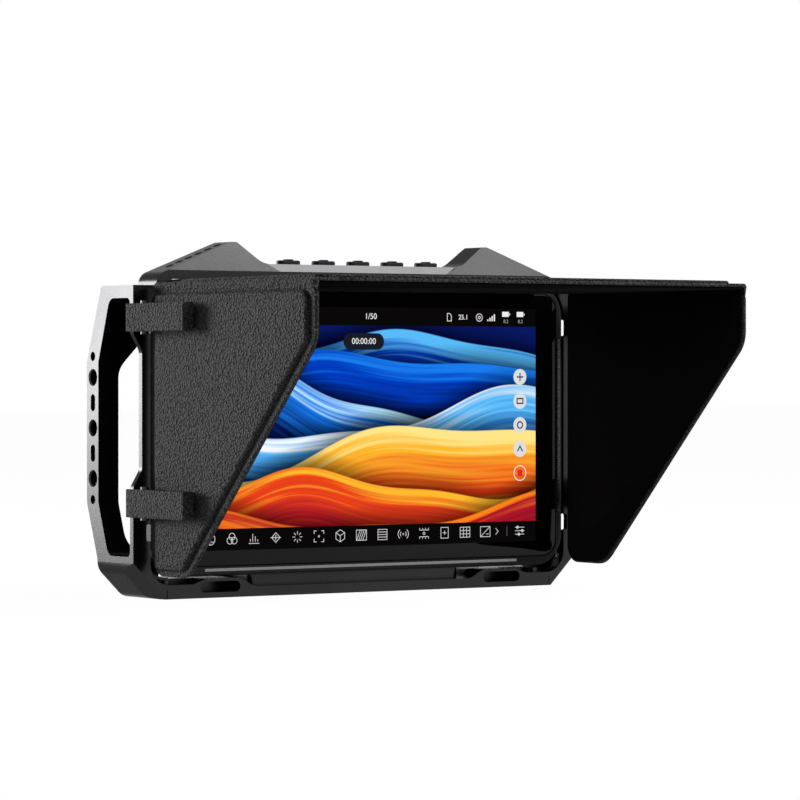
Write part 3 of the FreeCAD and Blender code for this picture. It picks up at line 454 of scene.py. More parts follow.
for row in frame["record"]["subparts"]:
    slot_name = row["material_slot"]
    if slot_name in finishes:
        dress(row["node"], finishes[slot_name])
    if slot_name in EDGE_SOFT:
        soften(nodes[row["node"]], EDGE_SOFT[slot_name])

# %% [markdown]
# ## Mesh helpers for sheets and pads
# Soft pieces are drawn as an outline and given thickness. An outline is a list of corners with a radius
# each; the helper turns each corner into a short arc, so a curve has exactly the points that its roundness
# needs. A solid is then made as stacked rings of that outline, each a little smaller, which gives it a
# rolled edge. A pad's face is closed by a grid of points that rise away from the rim, because rings drawn
# in that far would cross each other. A flap's face is closed by a flat ring, a groove and an island, so
# that the crease round the pad is a real one.

# %% Outlines
ARC_STEPS = 7
SHARPEST = 0.3
TINY = 1e-9


def rounded_outline(corners):
    """Points of a closed outline whose corners (a, b, radius) are rounded by arcs."""
    points = []
    count = len(corners)
    for i, (a, b, radius) in enumerate(corners):
        corner = Vector((a, b))
        before = (Vector(corners[i - 1][:2]) - corner).normalized()
        after = (Vector(corners[(i + 1) % count][:2]) - corner).normalized()
        if radius <= 0:
            points.append(corner)
            continue
        half = before.angle(after) / 2
        centre = corner + (before + after).normalized() * radius / math.sin(half)
        start = corner + before * radius / math.tan(half) - centre
        end = corner + after * radius / math.tan(half) - centre
        turn = math.atan2(start.x * end.y - start.y * end.x, start.dot(end))
        for k in range(ARC_STEPS + 1):
            angle = turn * k / ARC_STEPS
            c, s = math.cos(angle), math.sin(angle)
            points.append(centre + Vector((start.x * c - start.y * s, start.x * s + start.y * c)))
    return points


def inset_outline(points, amount):
    """The outline moved inwards by one distance, corner by corner."""
    count = len(points)
    area = sum(points[i - 1].x * points[i].y - points[i].x * points[i - 1].y for i in range(count))
    inward = 1 if area > 0 else -1
    moved = []
    for i, point in enumerate(points):
        one = (point - points[i - 1]).normalized()
        two = (points[(i + 1) % count] - point).normalized()
        side = Vector((-one.y - two.y, one.x + two.x)) * inward
        if side.length < TINY:
            moved.append(point.copy())
            continue
        side.normalize()
        lean = max(SHARPEST, abs(side.dot(Vector((-one.y, one.x)))))
        moved.append(point + side * amount / lean)
    return moved


def subdivided(points, longest):
    """The outline with long straight runs divided, so that it can bend and crown."""
    made = []
    for i, point in enumerate(points):
        following = points[(i + 1) % len(points)]
        parts = max(1, math.ceil((following - point).length / longest))
        made.extend(point.lerp(following, k / parts) for k in range(parts))
    return made


def box_corners(a_low, b_low, a_high, b_high, radius=0.0):
    """Corners (a, b, radius) of a rectangle."""
    return [(a, b, radius) for a, b in ((a_low, b_low), (a_high, b_low), (a_high, b_high), (a_low, b_high))]


def closed_edges(first, count):
    """Edges of a closed outline whose points are numbered from first."""
    return [(first + i, first + (i + 1) % count) for i in range(count)]


print("an arc has", ARC_STEPS, "steps")


def edge_distance(point, outline):
    """Distance from a point to the nearest stretch of an outline."""
    nearest = []
    for start, end in zip(outline, outline[1:] + outline[:1]):
        run = end - start
        share = max(0, min(1, (point - start).dot(run) / run.length_squared))
        nearest.append((start + run * share - point).length)
    return min(nearest)


def is_inside(point, outline):
    """True if a ray from the point crosses the outline an odd number of times."""
    inside = False
    for one, two in zip(outline, outline[1:] + outline[:1]):
        if (one.y > point.y) != (two.y > point.y):
            inside ^= point.x < one.x + (point.y - one.y) * (two.x - one.x) / (two.y - one.y)
    return inside


print("measures of an outline: area, distance to its edge, inside or not")

# %% Meshes and the ways an outline can face
SIDES = ((-1, "left"), (1, "right"))


def mesh_piece(name, bm, finish, smooth=True):
    bmesh.ops.recalc_face_normals(bm, faces=bm.faces)
    mesh = bpy.data.meshes.new(name)
    bm.to_mesh(mesh)
    bm.free()
    piece = bpy.data.objects.new(name, mesh)
    bpy.context.scene.collection.objects.link(piece)
    mesh.materials.append(finish)
    if smooth:
        mesh.shade_smooth()
    return piece


def join_loops(bm, loops):
    """Walls between loops that have the same number of vertices."""
    for lower, upper in zip(loops, loops[1:]):
        for i in range(len(lower)):
            j = (i + 1) % len(lower)
            bm.faces.new((lower[i], lower[j], upper[j], upper[i]))


def lying(a, b, height):
    """Point of an outline drawn from above; its height is Z."""
    return (a, b, height)


def facing(a, b, height):
    """Point of an outline drawn from the front; its height is Y."""
    return (a, height, b)


def sideways(side):
    """Points of an outline drawn from one side; their height is the distance from the middle."""
    return lambda a, b, height: (side * height, a, b)


print("sides:", [word for _, word in SIDES])

# %% Caps and stacked rings
CAP_GRID = 7 * MM
CROWN_RUN = 18 * MM
GROOVE_WIDE = 0.45 * MM
GROOVE_DEEP = 0.5 * MM
MERGE = 1e-4 * MM
# The kind of triangulation that fills the outline and nothing outside it.
INSIDE_ONLY = 1


def crowned_cap(bm, loop, outline, height, crown, place):
    """Close a loop of vertices with a grid of points that rise to a low crown."""
    low = Vector((min(p.x for p in outline), min(p.y for p in outline)))
    high = Vector((max(p.x for p in outline), max(p.y for p in outline)))
    columns, rows = (math.ceil(side / CAP_GRID) for side in high - low)
    grid = [low + Vector((i, j)) * CAP_GRID for i in range(1, columns) for j in range(1, rows)]
    grid = [p for p in grid if is_inside(p, outline) and edge_distance(p, outline) > CAP_GRID / 2]
    edges = closed_edges(0, len(outline))
    points, _, faces, origins, _, _ = delaunay_2d_cdt(outline + grid, edges, [], INSIDE_ONLY, MERGE)
    verts = []
    for point, origin in zip(points, origins):
        if origin[0] < len(outline):
            verts.append(loop[origin[0]])
            continue
        rise = 1 - (1 - min(1, edge_distance(point, outline) / CROWN_RUN)) ** 2
        verts.append(bm.verts.new(place(point.x, point.y, height + crown * rise)))
    for face in faces:
        bm.faces.new([verts[i] for i in face])


def grooved_cap(bm, loop, outline, height, rim, place):
    """Close a loop of vertices with a flat face that has a groove just inside an inner outline."""
    inner = inset_outline(rim, GROOVE_WIDE)
    floor = height - GROOVE_DEEP
    steps = ((rim, height), (rim, floor), (inner, floor), (inner, height))
    loops = [[bm.verts.new(place(p.x, p.y, level)) for p in drawn] for drawn, level in steps]
    join_loops(bm, loops)
    bm.faces.new(loops[-1])
    edges = closed_edges(0, len(outline)) + closed_edges(len(outline), len(rim))
    _, _, faces, origins, _, _ = delaunay_2d_cdt(outline + rim, edges, [], INSIDE_ONLY, MERGE)
    source = [origin[0] for origin in origins]
    verts = loop + loops[0]
    for face in faces:
        # A triangle with all its corners on the rim would close the groove.
        if any(source[i] < len(outline) for i in face):
            bm.faces.new([verts[source[i]] for i in face])


def ring_stack(name, outline, rings, place, finish, crown=0.0, groove=None):
    """Closed solid through rings (inset, height) of an outline; place makes a point of (a, b, height)."""
    bm = bmesh.new()
    loops = []
    for inset, height in rings:
        drawn = inset_outline(outline, inset) if inset else outline
        loops.append([bm.verts.new(place(p.x, p.y, height)) for p in drawn])
    join_loops(bm, loops)
    bm.faces.new(loops[0])
    if crown:
        crowned_cap(bm, loops[-1], drawn, height, crown, place)
    elif groove:
        grooved_cap(bm, loops[-1], drawn, height, groove, place)
    else:
        bm.faces.new(loops[-1])
    return mesh_piece(name, bm, finish)


print("groove", round(GROOVE_WIDE / MM, 2), "mm wide and", round(GROOVE_DEEP / MM, 2), "mm deep")

# %% [markdown]
# ## The hood's leather
# On the real hood one piece of leather covers the top and folds down at both sides. Here it is a top skin,
# a hanging skin for each flap and a strip for each fold; the top skin rides on the hood and each hanging
# skin on its own flap. The strip starts on the top beside the top skin, rolls over the fold and ends on the
# flap.

# %% Hood measures, read from the frame
top_low, top_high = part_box("hood_top_sheet")
pad_low, pad_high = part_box("hood_top_pad")
flap_low, flap_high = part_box("flap_left_sheet")
lining_low, lining_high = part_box("hood_top_lining")
LEATHER = top_high.z - top_low.z
FLAP_OUT = -flap_low.x
FLAP_IN = -flap_high.x
FOLD_TOP = top_high.z
HOOD_FRONT, HOOD_BACK = top_low.y, top_high.y
FLAP_FOOT = flap_low.z
FOOT_RUN = 26.6 * MM
FRONT_FALL = 90.2 * MM
CORNER_ROUND = 11.0 * MM
REAR_TOP_ROUND = 0.6 * MM
SEAM_INSET = 9.0 * MM
ROLL_TUCK = 0.6 * MM
PAD_ROUND = 4.5 * MM
GROOVE_IN = 0.2 * MM


def flap_corners(top, inset=0.0, slide=0.0):
    """Side outline (y, z, radius) of a flap, from its rear foot round to the front."""
    rear, front, low = HOOD_BACK - inset, HOOD_FRONT + inset, FLAP_FOOT + inset
    return [(rear, low, CORNER_ROUND * 0.5),
            (rear, top, REAR_TOP_ROUND),
            (front, top, CORNER_ROUND * 0.2),
            (front, FRONT_FALL + slide * 0.4, CORNER_ROUND),
            (FRONT - FOOT_RUN + slide, low, CORNER_ROUND)]


def groove_outline(word):
    """Outer edge of the groove round a flap's pad, just inside the outline of the pad's solid."""
    low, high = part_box(f"flap_{word}_pad")
    margin = low.y - HOOD_FRONT
    corners = [(high.y, low.z, PAD_ROUND / 2),
               (high.y, high.z, PAD_ROUND / 2),
               (low.y, high.z, PAD_ROUND),
               (low.y, FRONT_FALL + margin * 0.2, PAD_ROUND),
               (FRONT - FOOT_RUN + margin * 0.6, low.z, PAD_ROUND)]
    return inset_outline(subdivided(rounded_outline(corners), longest=8 * MM), GROOVE_IN)


print("hood depth", round(HOOD_BACK - HOOD_FRONT, 4))

# %% Top skin and side skins
SKIN_EDGE = LEATHER * 0.3
INNER_ROUND = 0.15
FOLD_STATIONS = 24
FOLD_ANGLE = 30


def sheet_rings(low, high, edge, near_tuck, far_tuck):
    """Rings of a sheet from face to face, drawn in at both faces so that its edges are round."""
    step = math.copysign(edge, high - low)
    return [(near_tuck, low), (0, low + step), (0, high - step), (far_tuck, high)]


def top_skin():
    half = FLAP_OUT - SEAM_INSET
    outline = subdivided(rounded_outline(box_corners(-half, HOOD_FRONT, half, HOOD_BACK)), longest=12 * MM)
    rings = sheet_rings(top_low.z, top_high.z, SKIN_EDGE, SKIN_EDGE * 0.7, SKIN_EDGE * 0.7)
    piece = ring_stack("hood_top_leather", outline, rings, lying, finishes["leather"])
    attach(piece, "hood")
    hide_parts("hood_top_sheet")
    return piece


def fold_profile(outside):
    """Section (x, z) of the strip, from its seam on the top, over the fold, to the flap's start."""
    radius = LEATHER * (1 + INNER_ROUND if outside else INNER_ROUND)
    x_side = FLAP_OUT if outside else FLAP_IN
    z_top = FOLD_TOP if outside else FOLD_TOP - LEATHER
    points = [(FLAP_OUT - SEAM_INSET, z_top)]
    for k in range(ARC_STEPS + 1):
        angle = math.pi / 2 * (1 - k / ARC_STEPS)
        x = x_side - radius + radius * math.cos(angle)
        z = z_top - radius + radius * math.sin(angle)
        points.append((x, z))
    return points


def side_skin(side, word):
    """Leather of one flap: the hanging panel and the strip that rolls over the fold onto the top."""
    name = f"{word}_flap"
    flap_top = flap_high.z - LEATHER
    outline = subdivided(rounded_outline(flap_corners(flap_top)), longest=9 * MM)
    rings = sheet_rings(FLAP_IN, FLAP_OUT, SKIN_EDGE, SKIN_EDGE * 0.8, SKIN_EDGE * 0.8)
    piece = ring_stack(f"{name}_leather", outline, rings, sideways(side), finishes["leather"],
                       groove=groove_outline(word))
    roll = fold_roll(side, name, flap_top)
    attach(piece, name)
    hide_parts(f"flap_{word}_sheet")
    return piece, roll


def fold_roll(side, name, flap_top):
    """Strip of leather that rolls from the top over the fold and down to the hanging panel."""
    outer, inner = fold_profile(True), fold_profile(False)
    outer.append((FLAP_OUT - ROLL_TUCK, flap_top - LEATHER))
    inner.append((FLAP_IN + ROLL_TUCK, flap_top - LEATHER))
    section = outer + inner[::-1]
    bm = bmesh.new()
    rows = []
    for k in range(FOLD_STATIONS + 1):
        y = HOOD_FRONT + (HOOD_BACK - HOOD_FRONT) * k / FOLD_STATIONS
        rows.append([bm.verts.new((side * x, y, z)) for x, z in section])
    join_loops(bm, rows)
    bm.faces.new(rows[0])
    bm.faces.new(rows[-1])
    roll = mesh_piece(f"{name}_fold", bm, finishes["leather"])
    soften(roll, LEATHER * 0.2, FOLD_ANGLE)
    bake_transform(roll)
    return roll


skins = [top_skin()]
for side, word in SIDES:
    skins.extend(side_skin(side, word))
print("leather skins:", len(skins))

# %% [markdown]
# ## Pads on the hood
# Each panel carries a raised pad: foam under the same leather, pressed thin at its rim. A pad leaves the
# sheet steeply, rolls over a small radius and then crowns by a tenth of a millimetre or two, which is
# enough to break up the reflection the way soft foam does. It is shaped directly, since a cloth simulation
# adds little to foam this thin. A flap's pad stands just inside the groove in the flap's skin.

# %% Pads
# Shares of a pad's height: where its shoulder starts to roll, and its crown.
SHOULDER = 0.3
CROWN = 0.12
PAD_TUCK = 0.3 * MM
PAD_STEPS = 5


def pad_rings(base, height):
    """Rings of a pad: a tucked-in rim and a rolled shoulder."""
    rings = [(PAD_TUCK, base), (0.0, base + height * SHOULDER / 2)]
    for k in range(1, PAD_STEPS + 1):
        angle = math.pi / 2 * k / PAD_STEPS
        inset = height * (1 - SHOULDER) * (1 - math.cos(angle))
        rise = SHOULDER + (1 - SHOULDER - CROWN) * math.sin(angle)
        rings.append((inset, base + height * rise))
    return rings


def flap_pad(side, word):
    name = f"{word}_flap"
    low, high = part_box(f"flap_{word}_pad")
    base = min(abs(low.x), abs(high.x))
    thick = high.x - low.x
    outline = inset_outline(groove_outline(word), GROOVE_WIDE)
    piece = ring_stack(f"{name}_cushion", outline, pad_rings(base, thick), sideways(side),
                       finishes["leather"], crown=thick * CROWN)
    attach(piece, name)
    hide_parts(f"flap_{word}_pad")
    return piece


def top_pad():
    corners = box_corners(pad_low.x, pad_low.y, pad_high.x, pad_high.y, PAD_ROUND)
    outline = subdivided(rounded_outline(corners), longest=8 * MM)
    thick = pad_high.z - pad_low.z
    piece = ring_stack("hood_top_cushion", outline, pad_rings(pad_low.z, thick), lying, finishes["leather"],
                       crown=thick * CROWN)
    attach(piece, "hood")
    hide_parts("hood_top_pad")
    return piece


pads = [top_pad()] + [flap_pad(side, word) for side, word in SIDES]
print("pads:", [piece.name for piece in pads])

# %% [markdown]
# ## Velvet lining
# Inside, the hood is flocked black so that it throws no light onto the screen. The linings are thin sheets
# whose edges stop just short of the leather, with a slightly rounded edge where the flock wraps.

# %% Linings
LINING_INSET = 0.8 * MM
LINING_SLIDE = 0.5 * MM


def velvet_sheet(name, corners, low, high, place, body, node):
    outline = subdivided(rounded_outline(corners), longest=10 * MM)
    edge = abs(high - low) * 0.35
    rings = sheet_rings(low, high, edge, edge, edge * 0.3)
    piece = ring_stack(name, outline, rings, place, finishes["velvet"])
    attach(piece, body)
    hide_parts(node)
    return piece


def linings():
    low, high = lining_low, lining_high
    corners = box_corners(low.x, low.y, high.x, high.y)
    made = [velvet_sheet("hood_top_velvet", corners, high.z, low.z, lying,
                         "hood", "hood_top_lining")]
    for side, word in SIDES:
        low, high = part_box(f"flap_{word}_lining")
        inner, outer = sorted((abs(low.x), abs(high.x)))
        corners = flap_corners(high.z, LINING_INSET, LINING_SLIDE)
        made.append(velvet_sheet(f"{word}_flap_velvet", corners, outer, inner, sideways(side),
                                 f"{word}_flap", f"flap_{word}_lining"))
    return made


print("linings:", [piece.name for piece in linings()])

# %% [markdown]
# ## Straps
# Each strap is a padded leather band: it is fixed round the cage's front bar, passes over a steel post and
# closes with hook tape on the flap's pad. Two skins, one for the tail and one for the tab, would part at
# the post. One skin covers both instead. It is drawn as a plan section and carried up through the strap's
# height with softened edges.

# %% Straps
LEVELS = ("upper", "lower")
STRAP_THICK = 4.45 * MM
STRAP_SOFT = 0.35 * MM
TAIL_THICK = 1.3 * MM
TAIL_REACH = 5.95 * MM
BAR_DEEP = 1.45 * MM
TAB_START = 3.2 * MM


def strap_section(tab):
    """Plan (x, y, radius) of a strap: the tail's hook, its side, the tab and back along the inside."""
    tail_low, tail_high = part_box("strap_tails")
    outer = max(abs(tab[0].x), abs(tab[1].x))
    bar = outer - BAR_DEEP
    inner = outer - STRAP_THICK
    hook = -tail_low.x - TAIL_REACH
    front_end, back = tab[0].y, tail_high.y
    behind = back - TAIL_THICK
    start = FRONT - TAB_START
    return [(hook, back, 0),
            (outer, back, TAIL_THICK),
            (outer, front_end, 0.5 * MM),
            (inner, front_end, 0.4 * MM),
            (inner, start, 0.4 * MM),
            (bar, start, 0.3 * MM),
            (bar, behind, 0.3 * MM),
            (hook, behind, 0)]


def strap(side, word, level):
    tab_node = f"strap_tab_{word}_{level}"
    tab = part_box(tab_node)
    outline = subdivided(rounded_outline(strap_section(tab)), longest=3 * MM)
    low, high = tab[0].z, tab[1].z
    small = STRAP_SOFT * 0.3
    edge = [(STRAP_SOFT, 0), (small, small), (0, STRAP_SOFT), (0, 3 * STRAP_SOFT)]
    rings = [(inset, low + rise) for inset, rise in edge]
    rings += [(inset, high - rise) for inset, rise in reversed(edge)]
    piece = ring_stack(f"{word}_{level}_strap_leather", outline, rings, lambda a, b, h: (side * a, b, h),
                       finishes["leather"])
    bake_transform(piece)
    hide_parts(tab_node)
    return piece


straps = [strap(side, word, level) for side, word in SIDES for level in LEVELS]
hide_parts("strap_tails")
print("straps:", [piece.name for piece in straps])

# %% [markdown]
# ## Hook tape and the hinge strip
# Under each strap the flap's pad carries a patch of hook tape, and a thin leather strip joins the hood to
# the monitor's top edge. Both are flat strips with softened corners, so one helper draws them.

# %% Patches and hinge strip
STRIP_SOFT = 0.3 * MM
STRIP_ROUND = 0.6 * MM


def flat_strip(name, corners, low, high, place, body, slot_name):
    """Thin plate with softened edges; low to high is its thickness."""
    rings = [(0, low), (0, high - math.copysign(STRIP_SOFT, high - low)), (STRIP_SOFT, high)]
    piece = ring_stack(name, rounded_outline(corners), rings, place, finishes[slot_name])
    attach(piece, body)
    return piece


def hook_patches(side, word):
    low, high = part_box(f"hook_patches_{word}")
    inner, outer = sorted((abs(low.x), abs(high.x)))
    middles = [sum(corner.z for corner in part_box(f"strap_tab_{word}_{level}")) / 2 for level in LEVELS]
    tall = high.z - middles[0]
    made = []
    for level, middle in zip(LEVELS, middles):
        corners = box_corners(low.y, middle - tall, high.y, middle + tall, STRIP_ROUND)
        made.append(flat_strip(f"{word}_{level}_hook_patch", corners, inner, outer, sideways(side),
                               f"{word}_flap", "hook_tape"))
    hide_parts(f"hook_patches_{word}")
    return made


def hinge_strip():
    low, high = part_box("hood_hinge_strip")
    corners = box_corners(low.x, low.z, high.x, high.z, STRIP_ROUND)
    piece = flat_strip("hood_hinge_leather", corners, high.y, low.y, facing, "monitor", "leather")
    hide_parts("hood_hinge_strip")
    return piece


patches = [patch for side, word in SIDES for patch in hook_patches(side, word)]
hinge_strip()
print("hook patches:", len(patches))

# %% [markdown]
# ## Glass with its black print
# The cover glass is bonded to the display, so its black print and the lit area lie right behind one
# polished face. A clear pane over a lit screen would be noisy to render. The slab is drawn as that face
# instead: black print under a coating that gives back about one part in eighty of the room. Its rim is
# rounded, and the lit plates that follow stand up to two tenths of a millimetre in front of it.

# %% Glass
GLASS_ROUND = 6.3 * MM
GLASS_EDGE = 0.3 * MM
FACE_SINK = 0.2 * MM
screen_low, screen_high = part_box("cover_glass")
FACE = screen_low.y + FACE_SINK
SCREEN_MIDDLE = (screen_low.z + screen_high.z) / 2


def glass_finish():
    material, tree, shader = new_finish("cover_glass", grey(0.002), 0.03, shine=0.15)
    roughened(tree, shader, noise(tree, scale=60, detail=4.0), 0.02, 0.05)
    return material


def glass_slab():
    low, high = screen_low, screen_high
    corners = box_corners(low.x, low.z, high.x, high.z, GLASS_ROUND)
    small = GLASS_EDGE * 0.3
    rings = [(GLASS_EDGE, FACE), (small, FACE + small), (0, FACE + GLASS_EDGE), (0, high.y)]
    piece = ring_stack("glass_slab", rounded_outline(corners), rings, facing, glass_finish())
    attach(piece, "monitor")
    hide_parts("cover_glass")
    return piece


glass_slab()
print("screen middle", round(SCREEN_MIDDLE, 4))

# %% [markdown]
# ## A lit screen without a picture file
# The picture is worked out by the shader: a row of waves, each drawn over the one behind it. A wave is a
# curved height line; below it the colour runs from a bright crest to a dark trough, with fine streaks that
# follow the crest, and it throws a soft shade on the wave behind. Cool waves stand at the back and warm
# ones in front.

# %% Picture
LIT_WIDE, LIT_TALL = 155.0 * MM, 87.2 * MM
STATUS_TALL = 6.7 * MM
MENU_TALL = 7.7 * MM
PLATE = 0.03 * MM
LIT_LOW, LIT_HIGH = SCREEN_MIDDLE - LIT_TALL / 2, SCREEN_MIDDLE + LIT_TALL / 2
PICTURE_LOW = LIT_LOW + MENU_TALL
PICTURE_HIGH = LIT_HIGH - STATUS_TALL
PICTURE_FRONT = FACE - 2 * PLATE
MARK_FRONT = PICTURE_FRONT - 2 * PLATE
TOP_FRONT = MARK_FRONT - 2 * PLATE
NAVY, ROYAL, AZURE = (0.003, 0.01, 0.12), (0.0, 0.05, 0.55), (0.01, 0.2, 0.85)
SKY, ICE, WHITE = (0.1, 0.5, 0.95), (0.5, 0.85, 1.0), (0.9, 0.95, 1.0)
LEMON, AMBER, ORANGE = (1.0, 0.8, 0.25), (1.0, 0.5, 0.03), (1.0, 0.22, 0.01)
RED, CRIMSON, MAROON = (0.85, 0.06, 0.01), (0.45, 0.01, 0.02), (0.12, 0.0, 0.02)
# Where the middle one of a wave's three colours lies, and how strongly streaks change the tone.
BODY_AT = 0.35
STREAK_TONE = 0.22
STREAK_LONG, STREAK_FINE = 0.8, 34.0
# A ripple on each wave, as shares of its own count, shift and swing.
RIPPLE_COUNT, RIPPLE_SHIFT, RIPPLE_SWING = 2.3, 1.7, 0.3
# The shade on the wave behind, and the soft edge of a crest, as shares of the picture's height.
SHADE_RUN, SHADE_LEVEL = 0.1, 0.25
CREST_EDGE = 0.006
# Sockets of a mix node when it mixes colours: the share, the two colours, and the result.
MIX_INPUTS = (0, 6, 7)
MIX_RESULT = 2
# Each wave: height at the middle, rise to the right, swing, count, shift, depth and colours.
WAVES = [
    (0.92, -0.06, 0.07, 3.1, 0.4, 0.34, (SKY, ROYAL, NAVY)),
    (0.78, 0.10, 0.10, 2.6, 2.1, 0.30, (AZURE, ROYAL, NAVY)),
    (0.66, -0.12, 0.10, 3.4, 3.9, 0.32, (ICE, AZURE, NAVY)),
    (0.54, 0.06, 0.09, 2.9, 5.2, 0.30, (WHITE, SKY, ROYAL)),
    (0.38, 0.10, 0.09, 2.7, 0.9, 0.30, (LEMON, AMBER, RED)),
    (0.20, 0.01, 0.08, 3.3, 2.6, 0.28, (AMBER, RED, CRIMSON)),
    (0.05, 0.03, 0.07, 2.8, 4.4, 0.26, (ORANGE, CRIMSON, MAROON)),
]


def crest_colour(tree, value, colours):
    node = tree.nodes.new("ShaderNodeValToRGB")
    node.color_ramp.elements[0].color = (*colours[0], 1)
    node.color_ramp.elements[1].color = (*colours[2], 1)
    node.color_ramp.elements.new(BODY_AT).color = (*colours[1], 1)
    tree.links.new(value, node.inputs["Fac"])
    return node.outputs["Color"]


def blended(tree, share, under, over, mode="MIX"):
    """Colour mix of what lies under and over by a share."""
    node = tree.nodes.new("ShaderNodeMix")
    node.data_type = "RGBA"
    node.blend_type = mode
    for place, value in zip(MIX_INPUTS, (share, under, over)):
        tree.links.new(value, node.inputs[place])
    return node.outputs[MIX_RESULT]


def streaks(tree, across, below, shift):
    """Fine strands that follow a crest, as a change of tone."""
    spread = tree.nodes.new("ShaderNodeCombineXYZ")
    tree.links.new(sums(tree, "MULTIPLY", across, STREAK_LONG), spread.inputs["X"])
    tree.links.new(sums(tree, "MULTIPLY_ADD", below, STREAK_FINE, shift), spread.inputs["Y"])
    strand = tree.nodes.new("ShaderNodeTexNoise")
    strand.noise_dimensions = "2D"
    strand.inputs["Scale"].default_value = 1.0
    strand.inputs["Detail"].default_value = 2.0
    tree.links.new(spread.outputs[0], strand.inputs["Vector"])
    return between(tree, strand.outputs["Fac"], NOISE_LOW, NOISE_HIGH, -STREAK_TONE, STREAK_TONE)


def shaded(tree, below, under):
    """The colours behind a wave, darkened just above its crest."""
    shade = between(tree, below, -SHADE_RUN, 0.0, 1.0, SHADE_LEVEL)
    darker = tree.nodes.new("ShaderNodeCombineColor")
    for channel in darker.inputs:
        tree.links.new(shade, channel)
    full = tree.nodes.new("ShaderNodeValue")
    full.outputs[0].default_value = 1.0
    return blended(tree, full.outputs[0], under, darker.outputs[0], "MULTIPLY")


def wave_over(tree, across, up, under, wave):
    """One wave drawn over the colours behind it."""
    middle, rise, swing, count, shift, deep, colours = wave
    swell = sums(tree, "SINE", sums(tree, "MULTIPLY_ADD", across, count, shift))
    ripple_angle = sums(tree, "MULTIPLY_ADD", across, count * RIPPLE_COUNT, shift * RIPPLE_SHIFT)
    ripple = sums(tree, "SINE", ripple_angle)
    line = sums(tree, "MULTIPLY_ADD", swell, swing, sums(tree, "MULTIPLY_ADD", across, rise, middle))
    crest = sums(tree, "MULTIPLY_ADD", ripple, swing * RIPPLE_SWING, line)
    below = sums(tree, "SUBTRACT", crest, up)
    depth = between(tree, below, 0.0, deep, 0.0, 1.0)
    tone = sums(tree, "ADD", depth, streaks(tree, across, below, shift))
    covered = between(tree, below, 0.0, CREST_EDGE, 0.0, 1.0)
    return blended(tree, covered, shaded(tree, below, under), crest_colour(tree, tone, colours))


def picture_finish():
    material, tree, shader = new_finish("wave_picture", (0, 0, 0), 0.5, shine=0.0)
    parts = tree.nodes.new("ShaderNodeSeparateXYZ")
    tree.links.new(place_of(tree), parts.inputs[0])
    across = sums(tree, "DIVIDE", parts.outputs["X"], LIT_WIDE / 2)
    up = between(tree, parts.outputs["Z"], PICTURE_LOW, PICTURE_HIGH, 0.0, 1.0)
    colour = crest_colour(tree, between(tree, up, 1.0, 0.5, 0.0, 1.0), (NAVY, NAVY, ROYAL))
    for wave in WAVES:
        colour = wave_over(tree, across, up, colour, wave)
    tree.links.new(colour, shader.inputs["Emission Color"])
    shader.inputs["Emission Strength"].default_value = 1.0
    return material


print("picture height in mm:", round((PICTURE_HIGH - PICTURE_LOW) / MM, 1))

# %% Lit plates
def add_plate(bm, points, near):
    """Thin closed solid over an outline (x, z)."""
    faces = [[bm.verts.new((x, y, z)) for x, z in points] for y in (near, near + PLATE)]
    for face in faces:
        bm.faces.new(face)
    join_loops(bm, faces)


def screen_piece(name, bm, finish):
    piece = mesh_piece(name, bm, finish, False)
    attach(piece, "monitor")
    return piece


def lit_finish(name, colour, level):
    material, _, shader = new_finish(name, (0, 0, 0), 0.5, shine=0.0)
    shader.inputs["Emission Color"].default_value = (*colour, 1)
    shader.inputs["Emission Strength"].default_value = level
    return material


def lit_plate(name, low, high, finish):
    half = LIT_WIDE / 2
    bm = bmesh.new()
    add_plate(bm, [(-half, low), (half, low), (half, high), (-half, high)], PICTURE_FRONT)
    return screen_piece(name, bm, finish)


bar_finish = lit_finish("bar_black", (0.003, 0.0025, 0.0025), 1.0)
lit_plate("menu_bar", LIT_LOW, PICTURE_LOW, bar_finish)
lit_plate("screen_picture", PICTURE_LOW, PICTURE_HIGH, picture_finish())
lit_plate("status_bar", PICTURE_HIGH, LIT_HIGH, bar_finish)
print("waves in the picture:", len(WAVES))

# %% [markdown]
# ## Marks on the screen
# The marks are thin plates in front of the picture. Most are strokes: one helper gives a path a width, so
# an icon is a few circles, boxes and lines in a unit square. The icons are plain signs of the lesson's own.

# %% Stroke helpers
STROKE = 0.23 * MM
CIRCLE_STEPS = 24
SHARPEST_STROKE = 0.5


def add_stroke(bm, path, near, closed=False, width=STROKE):
    """Closed thin solid along a path (x, z)."""
    points = [Vector(p) for p in path]
    count = len(points)
    left, right = [], []
    for i, point in enumerate(points):
        before = points[i - 1] if closed or i else point
        after = points[(i + 1) % count] if closed or i < count - 1 else point
        one = (point - before).normalized() if before != point else (after - point).normalized()
        two = (after - point).normalized() if after != point else one
        side = Vector((-one.y - two.y, one.x + two.x)).normalized()
        side *= width / 2 / max(SHARPEST_STROKE, abs(side.dot(Vector((-one.y, one.x)))))
        left.append(point + side)
        right.append(point - side)
    rows = [[bm.verts.new((p.x, y, p.y)) for p in edge]
            for y in (near, near + PLATE) for edge in (left, right)]
    loop = [rows[0], rows[1], rows[3], rows[2]]
    for i in range(count if closed else count - 1):
        j = (i + 1) % count
        for one, two in zip(loop, loop[1:] + loop[:1]):
            bm.faces.new((one[i], one[j], two[j], two[i]))
    if not closed:
        bm.faces.new([row[0] for row in loop])
        bm.faces.new([row[-1] for row in loop])


